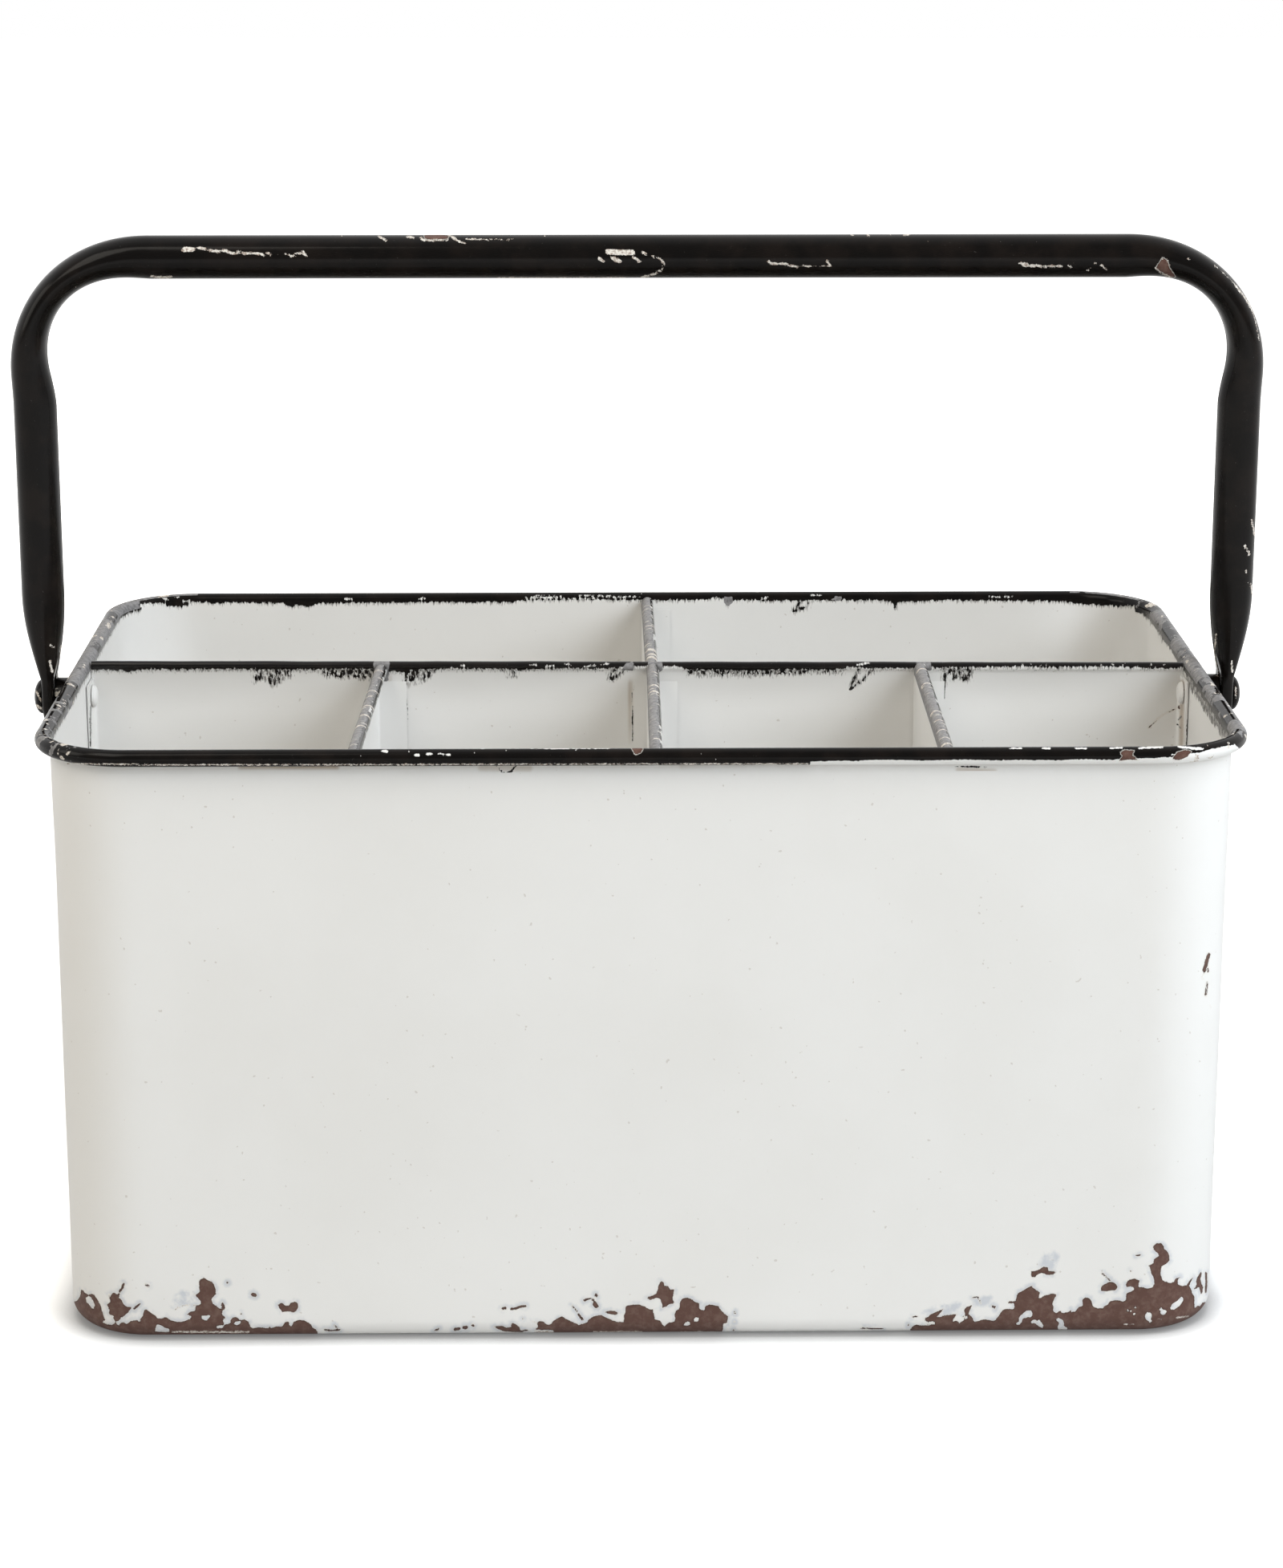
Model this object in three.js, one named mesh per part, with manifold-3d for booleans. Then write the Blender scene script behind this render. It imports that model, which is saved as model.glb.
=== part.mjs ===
// Storage caddy of painted sheet steel: an oblong bin with six compartments and a swinging carrying handle.
// Millimetres, +Z up. The origin lies under the middle of the bin, on the surface that it stands on.
// X runs along the bin, and -Y is the front, where the four small compartments are.
import * as THREE from 'three';
import { mergeVertices } from 'three/addons/utils/BufferGeometryUtils.js';
import Module from 'manifold-3d';

const wasm = await Module();
wasm.setup();

// Fits: the air between pieces that touch, and the overrun of every cutting tool.
const seatGap = 0.3;
const cutOverrun = 2;

// Bin: one sheet wrapped into a rounded oblong, rolled over a wire at the rim and turned in at the foot.
const binLength = 350;
const binDepth = 213.5;
const cornerRadius = 25.3;
const binHeight = 184.6;
const sheet = 0.6;
const rimBeadRadius = 2.5;
const curlMouth = 0.4;
const footRadius = 6;
const footFlange = 8;
const seamWidth = 8;
const seamX = 8;

// Floor: a shallow pan that lies on the turned-in foot.
const panLip = 8;

// Dividers: sheets with a rolled top edge and welding flanges folded at both ends.
const hemRadius = 2;
const hemDrop = 0.6;
const hemMouth = 0.3;
const foldRadius = 1.5;
const longDividerY = 7.4;
const longFlange = 14.4;
const crossFlange = 9.6;
const leftDividerX = -84;
const centerDividerX = 2.7;
const rightDividerX = 87.2;

// Handle: a steel strip rolled into a split tube and bent to a bail, its ends pressed flat.
const tubeRadius = 6.85;
const tubeWall = 1.2;
const tubeSplit = 0.7;
const barRise = 138.9;
const legClearance = 1.35;
const bendRadius = 37.1;
const bendLead = 9;
const bendDrift = 3.4;
const bendPinchShare = 0.7;
const bendBulgeShare = 1.22;
const bendFadeShare = 1.5;
const tabThickness = 3.6;
const tabRadius = 8;
const tabSplit = 4.4;
const tabRise = 6.5;
const crimpLength = 27;
const tabEndShare = 0.8;

// Pivots: a domed rivet at each end passes the handle, a spacer, the end wall and a divider flange.
const pivotDrop = 7.6;
const shankRadius = 2.5;
const domeRadius = 5.5;
const domeHeight = 2.9;
const tailRadius = 3.6;
const tailHeight = 1.5;
const spacerLength = 9.2;
const collarRadius = 6;

// Fineness of the round shapes.
const cornerSteps = 8;
const footSteps = 5;
const curlSteps = 12;
const foldSteps = 4;
const wireSteps = 8;
const turnSteps = 24;
const domeSteps = 5;
const sectionSteps = 14;
const bendSteps = 11;
const crimpSteps = 8;
const tabSteps = 4;

// Sizes that follow from those above.
const rimHeight = binHeight - rimBeadRadius;
const rimBeadOffset = rimBeadRadius - sheet;
const rimReach = binLength / 2 + rimBeadOffset + rimBeadRadius;
const innerLength = binLength - 2 * sheet;
const innerDepth = binDepth - 2 * sheet;
const wireRadius = rimBeadOffset - seatGap;
const panBase = sheet + seatGap;
const panTop = panBase + sheet;
const panBendRadius = footRadius - sheet - seatGap;
const dividerBase = panTop + seatGap;
const hemHeight = rimHeight - hemDrop;
const flangeTop = hemHeight - hemRadius - seatGap;
const pivotHeight = rimHeight - pivotDrop;
const holeRadius = shankRadius + seatGap;
const neckRadius = pivotDrop - rimBeadRadius - 2 * seatGap;
const tabInner = binLength / 2 + spacerLength + 2 * seatGap;
const tabOuter = tabInner + tabThickness;
const tabReach = tabInner + tabThickness / 2;
const legReach = rimReach + legClearance + tubeRadius;
const barHeight = pivotHeight + barRise;
const tabTop = pivotHeight + tabRise;
const longFront = longDividerY - sheet / 2;
const longBack = longDividerY + sheet / 2;

// Materials.
function coat(color, roughness, metalness) {
  return new THREE.MeshStandardMaterial({ color, roughness, metalness });
}

const whiteEnamel = () => coat(0xdedddb, 0.35, 0);
const blackEnamel = () => coat(0x161412, 0.2, 0);
const bareSteel = () => coat(0x8d8a86, 0.4, 1);

// Closed surface through rings that all have as many points. Each ring runs counterclockwise as seen from
// where the next rings lie on its outer side. A loop of rings closes on itself, and an open row of rings is
// capped by fans, or by strips where each ring is the outline of a bent strip.
function skin(rings, ends) {
  const count = rings[0].length;
  const points = rings.flat();
  const faces = [];
  const quad = (a, b, c, d) => faces.push(a, b, c, a, c, d);
  const spans = ends === 'loop' ? rings.length : rings.length - 1;
  for (let i = 0; i < spans; i += 1) {
    const here = i * count;
    const there = ((i + 1) % rings.length) * count;
    for (let j = 0; j < count; j += 1) {
      const k = (j + 1) % count;
      quad(here + j, here + k, there + k, there + j);
    }
  }
  const last = (rings.length - 1) * count;
  if (ends === 'fan') {
    for (let j = 1; j < count - 1; j += 1) {
      faces.push(0, j + 1, j);
      faces.push(last, last + j, last + j + 1);
    }
  }
  if (ends === 'strip') {
    for (let j = 0; j < count / 2 - 1; j += 1) {
      const k = count - 1 - j;
      quad(j, k, k - 1, j + 1);
      quad(last + j, last + j + 1, last + k - 1, last + k);
    }
  }
  const geometry = new THREE.BufferGeometry();
  geometry.setAttribute('position', new THREE.Float32BufferAttribute(points.flat(), 3));
  geometry.setIndex(faces);
  return geometry;
}

// Points of an arc about (x, y), from one angle to another, both ends included.
function arc(x, y, radius, from, to, steps) {
  const points = [];
  for (let i = 0; i <= steps; i += 1) {
    const angle = from + ((to - from) * i) / steps;
    points.push([x + radius * Math.cos(angle), y + radius * Math.sin(angle)]);
  }
  return points;
}

// Outline of the bin seen from above, moved inward by an inset, at one height.
function binRing(inset, height) {
  const radius = cornerRadius - inset;
  const x = binLength / 2 - cornerRadius;
  const y = binDepth / 2 - cornerRadius;
  const quarter = Math.PI / 2;
  const corners = [[x, y], [-x, y], [-x, -y], [x, -y]];
  const ring = corners.flatMap(([cx, cy], turn) =>
    arc(cx, cy, radius, turn * quarter, (turn + 1) * quarter, cornerSteps));
  return ring.map(([px, py]) => [px, py, height]);
}

// Solid swept round the bin from a section of [inset, height] points.
function binSweep(section, ends) {
  return skin(section.map(([inset, height]) => binRing(inset, height)), ends);
}

// Solid turned about the X axis from [radius, x] points. It closes on itself where it has a bore.
function turned(profile, ends) {
  const rings = profile.map(([radius, x]) => {
    const circle = arc(0, 0, radius, 0, 2 * Math.PI, turnSteps).slice(0, turnSteps);
    return circle.map(([y, z]) => [x, y, z]);
  });
  return skin(rings, ends);
}

// Joining and cutting of closed meshes.
function solid(geometry) {
  const bare = geometry.clone();
  bare.deleteAttribute('normal');
  bare.deleteAttribute('uv');
  const merged = mergeVertices(bare);
  return new wasm.Manifold(new wasm.Mesh({
    numProp: 3,
    vertProperties: Float32Array.from(merged.attributes.position.array),
    triVerts: Uint32Array.from(merged.index.array),
  }));
}

function shell(manifold) {
  const mesh = manifold.getMesh();
  const geometry = new THREE.BufferGeometry();
  geometry.setAttribute('position', new THREE.BufferAttribute(mesh.vertProperties, 3));
  geometry.setIndex(new THREE.BufferAttribute(mesh.triVerts, 1));
  return geometry;
}

// Drill for the pivot holes, from one x to another along the pivot axis.
function pivotDrill(from, to) {
  const drill = turned([[holeRadius, from], [holeRadius, to]], 'fan');
  return solid(drill.translate(0, 0, pivotHeight));
}

function bothPivotDrills() {
  const inner = binLength / 2 - foldRadius - cutOverrun;
  const outer = binLength / 2 + cutOverrun;
  return pivotDrill(inner, outer).add(pivotDrill(-outer, -inner));
}

// Bin wall with its rolled rim, turned-in foot and lap seam.
function wallSection() {
  const down = -Math.PI / 2;
  const mouthAngle = -Math.acos((rimBeadOffset - curlMouth) / rimBeadRadius);
  const footOut = arc(footRadius, footRadius, footRadius, -Math.PI / 2, -Math.PI, footSteps);
  const footIn = arc(footRadius, footRadius, footRadius - sheet, -Math.PI, down, footSteps);
  const curlIn = arc(-rimBeadOffset, rimHeight, rimBeadOffset, 0, 2 * Math.PI + mouthAngle, curlSteps);
  const curlOut = arc(-rimBeadOffset, rimHeight, rimBeadRadius, 2 * Math.PI + mouthAngle, 0, curlSteps);
  const flangeEnd = footRadius + footFlange;
  return [[flangeEnd, 0], ...footOut, ...curlIn, ...curlOut, ...footIn, [flangeEnd, sheet]];
}

function lapSeam() {
  const base = footRadius;
  const top = rimHeight - rimBeadRadius - seatGap;
  const strap = new THREE.BoxGeometry(seamWidth, 2 * sheet, top - base);
  return strap.translate(seamX, binDepth / 2, (top + base) / 2);
}

function bodyShell() {
  const wall = solid(binSweep(wallSection(), 'loop'));
  return shell(wall.add(solid(lapSeam())).subtract(bothPivotDrills()));
}

// Steel wire inside the rolled rim.
function rimWire() {
  const section = arc(-rimBeadOffset, rimHeight, wireRadius, 2 * Math.PI, 0, wireSteps);
  return binSweep(section.slice(0, wireSteps), 'loop');
}

// Floor pan with an upturned lip that stands inside the wall.
function basePan() {
  const under = arc(footRadius, footRadius, panBendRadius, -Math.PI / 2, -Math.PI, footSteps);
  const over = arc(footRadius, footRadius, panBendRadius - sheet, -Math.PI, -Math.PI / 2, footSteps);
  const outside = footRadius - panBendRadius;
  return binSweep([...under, [outside, panLip], [outside + sheet, panLip], ...over], 'fan');
}

// Space inside the pan that a divider may fill, with the seat gap all round.
function panRoom() {
  const radius = panBendRadius - sheet - seatGap;
  const side = footRadius - radius;
  const bend = arc(footRadius, footRadius, radius, -Math.PI / 2, -Math.PI, footSteps);
  return solid(binSweep([...bend, [side, panLip + seatGap + 2 * cutOverrun]], 'fan'));
}

// Plan of a divider: a straight run with both ends folded the same way, seen from above. It starts at the
// middle of the sheet, and its x runs along the sheet and its y towards the flanges.
function dividerPlan(run, flange) {
  const center = foldRadius - sheet / 2;
  const inside = foldRadius - sheet;
  const plan = new THREE.Shape();
  plan.moveTo(0, flange);
  plan.lineTo(0, center);
  plan.absarc(foldRadius, center, foldRadius, -Math.PI, -Math.PI / 2, false);
  plan.lineTo(run - foldRadius, center - foldRadius);
  plan.absarc(run - foldRadius, center, foldRadius, -Math.PI / 2, 0, false);
  plan.lineTo(run, flange);
  plan.lineTo(run - sheet, flange);
  plan.lineTo(run - sheet, center);
  plan.absarc(run - foldRadius, center, inside, 0, -Math.PI / 2, true);
  plan.lineTo(foldRadius, center - inside);
  plan.absarc(foldRadius, center, inside, -Math.PI / 2, -Math.PI, true);
  plan.lineTo(sheet, flange);
  return plan;
}

function raised(plan, from, to) {
  const options = { depth: to - from, bevelEnabled: false, curveSegments: foldSteps };
  return new THREE.ExtrudeGeometry(plan, options).translate(0, 0, from);
}

// Rolled top edge of a divider with the strip of sheet that carries it, between two places on its run.
function dividerHem(from, to) {
  const inside = hemRadius - sheet;
  const middle = hemRadius - sheet / 2;
  const mouthAngle = -Math.acos(-(inside - hemMouth) / hemRadius);
  const section = new THREE.Shape();
  section.moveTo(-sheet / 2, flangeTop - cutOverrun);
  section.lineTo(sheet / 2, flangeTop - cutOverrun);
  section.lineTo(sheet / 2, hemHeight);
  section.absarc(middle, hemHeight, inside, Math.PI, mouthAngle, true);
  section.absarc(middle, hemHeight, hemRadius, mouthAngle, Math.PI, false);
  const options = { depth: to - from, bevelEnabled: false, curveSegments: curlSteps };
  const hem = new THREE.ExtrudeGeometry(section, options).translate(0, 0, from);
  const across = new THREE.Vector3(0, 1, 0);
  const up = new THREE.Vector3(0, 0, 1);
  const along = new THREE.Vector3(1, 0, 0);
  return hem.applyMatrix4(new THREE.Matrix4().makeBasis(across, up, along));
}

// Whole divider, placed where its run starts, along one direction and with its flanges towards another.
function divider(run, flange, hemFrom, hemTo, start, along, across) {
  const up = new THREE.Vector3(0, 0, 1);
  const frame = new THREE.Matrix4().makeBasis(along, across, up).setPosition(...start, 0);
  const plan = dividerPlan(run, flange);
  const upperBase = panLip + seatGap;
  const lower = solid(raised(plan, dividerBase, upperBase + cutOverrun).applyMatrix4(frame));
  const upper = solid(raised(plan, upperBase, flangeTop).applyMatrix4(frame));
  const hem = solid(dividerHem(hemFrom, hemTo).applyMatrix4(frame));
  return lower.intersect(panRoom()).add(upper).add(hem);
}

// The long divider stands a little behind the middle, with its flanges turned to the front.
function longDivider() {
  const run = innerLength - 2 * seatGap;
  const start = [run / 2, longDividerY];
  const along = new THREE.Vector3(-1, 0, 0);
  const across = new THREE.Vector3(0, -1, 0);
  const whole = divider(run, longFlange, 0, run, start, along, across);
  return shell(whole.subtract(bothPivotDrills()));
}

// A cross divider runs from a rear place to a front one, with its flanges turned to the right. Its rolled
// edge ends short of the run where the long divider's own rolled edge is in the way.
function crossDivider(x, rear, front, hemShort) {
  const along = new THREE.Vector3(0, -1, 0);
  const across = new THREE.Vector3(1, 0, 0);
  const run = rear - front;
  return shell(divider(run, crossFlange, hemShort, run, [x, rear], along, across));
}

function frontDivider(x) {
  const rear = longFront - seatGap;
  const front = -innerDepth / 2 + seatGap;
  return crossDivider(x, rear, front, 2 * hemRadius - sheet);
}

function backDivider(x) {
  return crossDivider(x, innerDepth / 2 - seatGap, longBack + seatGap, 0);
}

// Places along half of the handle, from the end of the tab up the leg and round to the middle of the bar.
// Each has its centre, the outward direction in the plane of the bail, and how far its bend and its crimp
// have gone, from 0 to 1.
function halfHandle() {
  const places = [];
  const legTop = barHeight - bendRadius;
  const bendX = legReach - bendRadius;
  const add = (x, z, turn, bend, crimp) => places.push({ x, z, turn, bend, crimp });
  for (let i = 0; i <= tabSteps; i += 1) {
    const drop = tabRadius * tabEndShare * Math.sin((1 - i / tabSteps) * Math.PI / 2);
    add(tabReach, pivotHeight - drop, 0, 0, 1);
  }
  for (let i = 0; i <= crimpSteps; i += 1) {
    const gone = i / crimpSteps;
    const crimp = (1 - gone) ** 2;
    add(legReach + (tabReach - legReach) * crimp, tabTop + crimpLength * gone, 0, 0, crimp);
  }
  const arcLength = bendRadius * Math.PI / 2;
  const fade = (s) => Math.sin(Math.PI * (s + bendLead) / (arcLength + bendLead)) ** bendFadeShare;
  add(legReach, legTop - bendLead, 0, 0, 0);
  for (let i = 0; i < bendSteps; i += 1) {
    const turn = (i / bendSteps) * Math.PI / 2;
    const bend = fade(bendRadius * turn);
    const reach = bendRadius + bendDrift * bend;
    add(bendX + reach * Math.cos(turn), legTop + reach * Math.sin(turn), turn, bend, 0);
  }
  add(bendX, barHeight, Math.PI / 2, 0, 0);
  return places;
}

// Section of the split tube at one place: an outer outline and an inner one, open on the inner side of the
// bail. It goes from round to a flat with round edges as the crimp goes on.
function handleSection(place) {
  const { x, z, turn, bend, crimp } = place;
  const mix = (a, b) => a + (b - a) * crimp;
  const below = Math.max(0, pivotHeight - z);
  const tabHalf = Math.sqrt(tabRadius ** 2 - below ** 2);
  const half = mix(tubeRadius * (1 - (1 - bendPinchShare) * bend), tabThickness / 2);
  const breadth = mix(tubeRadius * (1 + (bendBulgeShare - 1) * bend), tabHalf);
  const split = mix(tubeSplit, tabSplit) / 2;
  const outline = (a, b) => {
    const open = Math.asin(split / b);
    const round = Math.min(a, b);
    return arc(0, 0, 1, open - Math.PI, Math.PI - open, sectionSteps - 1).map(([c, s]) => {
      const across = b * s;
      const overEdge = Math.max(0, Math.abs(across) - (b - round));
      const flat = Math.sign(c) * a * Math.sqrt(Math.max(0, 1 - (overEdge / round) ** 2));
      return [mix(a * c, flat), across];
    });
  };
  const outer = outline(half, breadth);
  const inner = outline(half - tubeWall, breadth - tubeWall).reverse();
  return [...outer, ...inner].map(([out, across]) =>
    [x + out * Math.cos(turn), across, z + out * Math.sin(turn)]);
}

function handle() {
  const right = halfHandle().map(handleSection);
  const left = right.map((ring) => ring.map(([x, y, z]) => [-x, y, z])).reverse();
  const rings = [...right, ...left.slice(1)];
  const bail = solid(skin(rings, 'strip'));
  const drills = pivotDrill(tabInner - cutOverrun, tabOuter + cutOverrun)
    .add(pivotDrill(-tabOuter - cutOverrun, -tabInner + cutOverrun));
  return shell(bail.subtract(drills));
}

// Rivet on the right: tail inside the bin, shank through the stack, and a domed head outside the handle.
function rivetProfile() {
  const flangeFace = innerLength / 2 - seatGap - sheet;
  const tailEnd = flangeFace - seatGap;
  const headBase = tabOuter + seatGap;
  const profile = [[tailRadius - sheet, tailEnd - tailHeight], [tailRadius, tailEnd - sheet]];
  profile.push([tailRadius, tailEnd], [shankRadius, tailEnd], [shankRadius, headBase]);
  for (let i = 0; i < domeSteps; i += 1) {
    const angle = (i / domeSteps) * Math.PI / 2;
    profile.push([domeRadius * Math.cos(angle), headBase + domeHeight * Math.sin(angle)]);
  }
  return profile;
}

function rivet() {
  return turned(rivetProfile(), 'fan');
}

// Shouldered spacer that holds the handle clear of the rolled rim. Its neck passes under the rim.
function spacer() {
  const near = binLength / 2 + seatGap;
  const step = rimReach + seatGap;
  const far = tabInner - seatGap;
  const neck = [[neckRadius, near], [neckRadius, step]];
  const collar = [[collarRadius, step], [collarRadius, far]];
  return turned([...neck, ...collar, [holeRadius, far], [holeRadius, near]], 'loop');
}

// Assembly.
function piece(name, geometry, material) {
  const mesh = new THREE.Mesh(geometry, material);
  mesh.name = name;
  return mesh;
}

function pivotSide(side, turn) {
  const group = new THREE.Group();
  group.position.z = pivotHeight;
  group.rotation.z = turn;
  group.add(piece(`${side}_rivet`, rivet(), blackEnamel()));
  group.add(piece(`${side}_spacer`, spacer(), blackEnamel()));
  return group;
}

const caddy = new THREE.Group();
caddy.add(piece('body_shell', bodyShell(), whiteEnamel()));
caddy.add(piece('rim_wire', rimWire(), bareSteel()));
caddy.add(piece('base_pan', basePan(), whiteEnamel()));
caddy.add(piece('long_divider', longDivider(), whiteEnamel()));
caddy.add(piece('front_divider_left', frontDivider(leftDividerX), whiteEnamel()));
caddy.add(piece('front_divider_center', frontDivider(centerDividerX), whiteEnamel()));
caddy.add(piece('front_divider_right', frontDivider(rightDividerX), whiteEnamel()));
caddy.add(piece('back_divider', backDivider(centerDividerX), whiteEnamel()));
caddy.add(piece('handle', handle(), blackEnamel()));
caddy.add(pivotSide('right', 0));
caddy.add(pivotSide('left', Math.PI));

export default caddy;
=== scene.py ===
"""Looks of the storage caddy: an enamelled steel bin with worn paint, six compartments and a swinging handle."""
import math

import bpy
import numpy as np
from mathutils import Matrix, Vector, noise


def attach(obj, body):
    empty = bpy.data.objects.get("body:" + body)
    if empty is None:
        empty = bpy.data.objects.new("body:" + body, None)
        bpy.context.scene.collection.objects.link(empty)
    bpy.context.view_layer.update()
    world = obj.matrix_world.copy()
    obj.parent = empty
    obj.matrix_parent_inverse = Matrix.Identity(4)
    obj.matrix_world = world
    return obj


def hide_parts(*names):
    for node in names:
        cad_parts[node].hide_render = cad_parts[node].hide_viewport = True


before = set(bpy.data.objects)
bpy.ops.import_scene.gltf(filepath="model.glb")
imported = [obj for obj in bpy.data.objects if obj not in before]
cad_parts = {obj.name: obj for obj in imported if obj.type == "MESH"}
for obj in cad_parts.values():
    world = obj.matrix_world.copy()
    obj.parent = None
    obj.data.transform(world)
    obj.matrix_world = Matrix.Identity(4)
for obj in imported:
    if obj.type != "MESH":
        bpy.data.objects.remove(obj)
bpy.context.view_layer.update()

MM = 0.001
QUARTER = math.pi / 2

# Driving dimensions in millimetres, in the frame's own axes: X along the bin, -Y to the front, Z up.
BIN_LENGTH = 350.0
BIN_DEPTH = 213.5
CORNER = 25.3
SHEET = 0.6
GAP = 0.3
BIN_HEIGHT = 184.6
BEAD = 2.5
FOOT_RADIUS = 6.0
FOOT_FLANGE = 8.0
PAN_LIP = 8.0
PAN_STAND = 0.9
ROLL_Z = 177.0
HEM = 2.0
LONG_HEM = 1.5
LONG_HEM_Z = 182.25
LONG_HEM_FOOT = 169.0
HEM_LEAN = 1.5
HEM_DROP = 0.6
FOLD = 1.5
LONG_Y = 7.4
LONG_FLANGE = 14.4
CROSS_FLANGE = 9.6
CROSS_X = {"front_divider_left": -84.0, "front_divider_center": 2.7, "front_divider_right": 87.2}
BACK_X = 2.7
# How far the rear and front ends of a front divider stand off its place, to the right.
CROSS_SKEW = {"front_divider_left": (0.4, -2.0), "front_divider_center": (0.3, -0.5),
              "front_divider_right": (1.2, 0.0)}
TUBE = 6.85
TUBE_FLAT = 0.971
TUBE_WALL = 1.2
BAR_RISE = 138.9
BEND_RADIUS = 37.1
BEND_LEAD = 9.0
BEND_DRIFT = 3.11
TAB = 3.6
TAB_RADIUS = 8.0
TAB_RISE = 6.5
CRIMP_LENGTH = 27.0
LEG_CLEAR = 1.35
SPACER_LENGTH = 9.2
PIVOT_DROP = 7.6
RIVET_SHANK, RIVET_HEAD = 2.5, 5.5
# Closed tail of a rivet, as radius and distance inside the bin.
TAIL_ROUND = ((0.4, 1.5), (2.2, 1.45), (2.9, 1.2), (3.4, 0.75), (3.6, 0.3), (3.6, 0.0))
# Its domed head: edge, rise, the turns of its arc, rows of the arc, and how far its round is off.
HEAD_EDGE, HEAD_RISE, HEAD_ARC, HEAD_STATIONS, HEAD_UNEVEN = 0.25, 2.65, (0.12, 1.5), 12, 0.012
COLLAR, BORE, EASE = 6.0, 2.8, 0.35
SEAM_X, SEAM_HALF, SEAM_ROW, SEAM_COLUMN = 8.0, 4.0, 1.2, 0.5
SEAM_EDGE, WELD_DEPTH, WELD_RADIUS, WELD_PITCH, WELD_FROM = 0.25, 0.22, 1.5, 24, 18

# Sizes that follow from those above.
RIM_Z = BIN_HEIGHT - BEAD
BEAD_OUT = BEAD - SHEET
RIM_REACH = BIN_LENGTH / 2 + BEAD_OUT + BEAD
INNER_LENGTH = BIN_LENGTH - 2 * SHEET
INNER_DEPTH = BIN_DEPTH - 2 * SHEET
STRAIGHT_HALF = (BIN_LENGTH / 2 - CORNER, BIN_DEPTH / 2 - CORNER)
HEM_Z = RIM_Z - HEM_DROP
FLANGE_TOP = HEM_Z - HEM - GAP
DIVIDER_BASE = 2 * SHEET + 2 * GAP
PIVOT_Z = RIM_Z - PIVOT_DROP
TAB_INNER = BIN_LENGTH / 2 + SPACER_LENGTH + 2 * GAP
TAB_OUTER = TAB_INNER + TAB
TAB_REACH = TAB_INNER + TAB / 2
LEG_REACH = RIM_REACH + LEG_CLEAR + TUBE
BAR_Z = PIVOT_Z + BAR_RISE
TAB_TOP = PIVOT_Z + TAB_RISE
LONG_FRONT = LONG_Y - SHEET / 2
LONG_BACK = LONG_Y + SHEET / 2

# Camera fitted to the photograph, which is 1600 pixels wide and 1955 high.
PHOTO_WIDTH = 1600
PHOTO_HEIGHT = 1955
FOCAL_PIXELS = 4647.16
SENSOR = 36.0
CAMERA_AT = (-0.0147, -1.1525, 0.4521)
CAMERA_PAN = 0.0136
CAMERA_PITCH = 0.2604


def photo_pixels(points):
    """Pixels of the photograph at which points (millimetres) are seen."""
    sin_pan, cos_pan = math.sin(CAMERA_PAN), math.cos(CAMERA_PAN)
    sin_pitch, cos_pitch = math.sin(CAMERA_PITCH), math.cos(CAMERA_PITCH)
    ahead = np.array([sin_pan * cos_pitch, cos_pan * cos_pitch, -sin_pitch])
    right = np.array([cos_pan, -sin_pan, 0.0])
    up = np.cross(right, ahead)
    ray = points * MM - np.array(CAMERA_AT)
    depth = ray @ ahead
    column = PHOTO_WIDTH / 2 + FOCAL_PIXELS * (ray @ right) / depth
    row = PHOTO_HEIGHT / 2 - FOCAL_PIXELS * (ray @ up) / depth
    return np.stack([column, row], axis=-1)


# ---------------------------------------------------------------------------------------------- mesh code

def added(name, data):
    """New object in the scene."""
    item = bpy.data.objects.new(name, data)
    bpy.context.scene.collection.objects.link(item)
    return item


def piece(name, points, faces, material, node, body, fields=None, sharp=38.0):
    """A mesh object in place of a CAD node, with its paint fields as attributes. Points are millimetres."""
    mesh = bpy.data.meshes.new(name)
    mesh.from_pydata((np.asarray(points) * MM).tolist(), [], faces)
    if signed_volume(np.asarray(points), faces) < 0:
        mesh.flip_normals()
    for key, values in (fields or {}).items():
        layer = mesh.attributes.new(key, 'FLOAT', 'POINT')
        layer.data.foreach_set("value", np.asarray(values, dtype=np.float32))
    mesh.shade_smooth()
    mesh.set_sharp_from_angle(angle=math.radians(sharp))
    mesh.materials.append(material)
    item = added(name, mesh)
    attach(item, body)
    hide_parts(node)


def signed_volume(points, faces):
    """Six times the volume, negative where the faces look inward."""
    total = 0.0
    for size in sorted({len(face) for face in faces}):
        group = np.array([face for face in faces if len(face) == size])
        origin = points[group[:, 0]]
        for k in range(1, size - 1):
            cross = np.cross(points[group[:, k]], points[group[:, k + 1]])
            total += float(np.einsum('ij,ij->i', origin, cross).sum())
    return total


def lofted(rings, loop=True, caps=False):
    """Quads through rings of equal count, each closed. An open row of rings may be capped."""
    rows, count = rings.shape[:2]
    index = np.arange(rows * count).reshape(rows, count)
    here = index if loop else index[:-1]
    there = np.roll(index, -1, axis=0) if loop else index[1:]
    quads = np.stack([here, np.roll(here, -1, axis=1), np.roll(there, -1, axis=1), there], axis=-1)
    faces = quads.reshape(-1, 4).tolist()
    if caps and not loop:
        faces.append(index[0, ::-1].tolist())
        faces.append(index[-1].tolist())
    return rings.reshape(-1, 3), faces


def joined(parts):
    """Several (points, faces) shells as one."""
    points, faces, base = [], [], 0
    for part_points, part_faces in parts:
        points.append(part_points)
        faces += [[base + k for k in face] for face in part_faces]
        base += len(part_points)
    return np.concatenate(points), faces


def arc(x, y, radius, start, end, steps):
    turn = np.linspace(start, end, steps + 1)
    return list(zip(x + radius * np.cos(turn), y + radius * np.sin(turn)))


def even(start, end, step):
    """Places from start to end, both included, about a step apart."""
    count = max(1, round(abs(end - start) / step))
    return np.linspace(start, end, count + 1)


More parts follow.
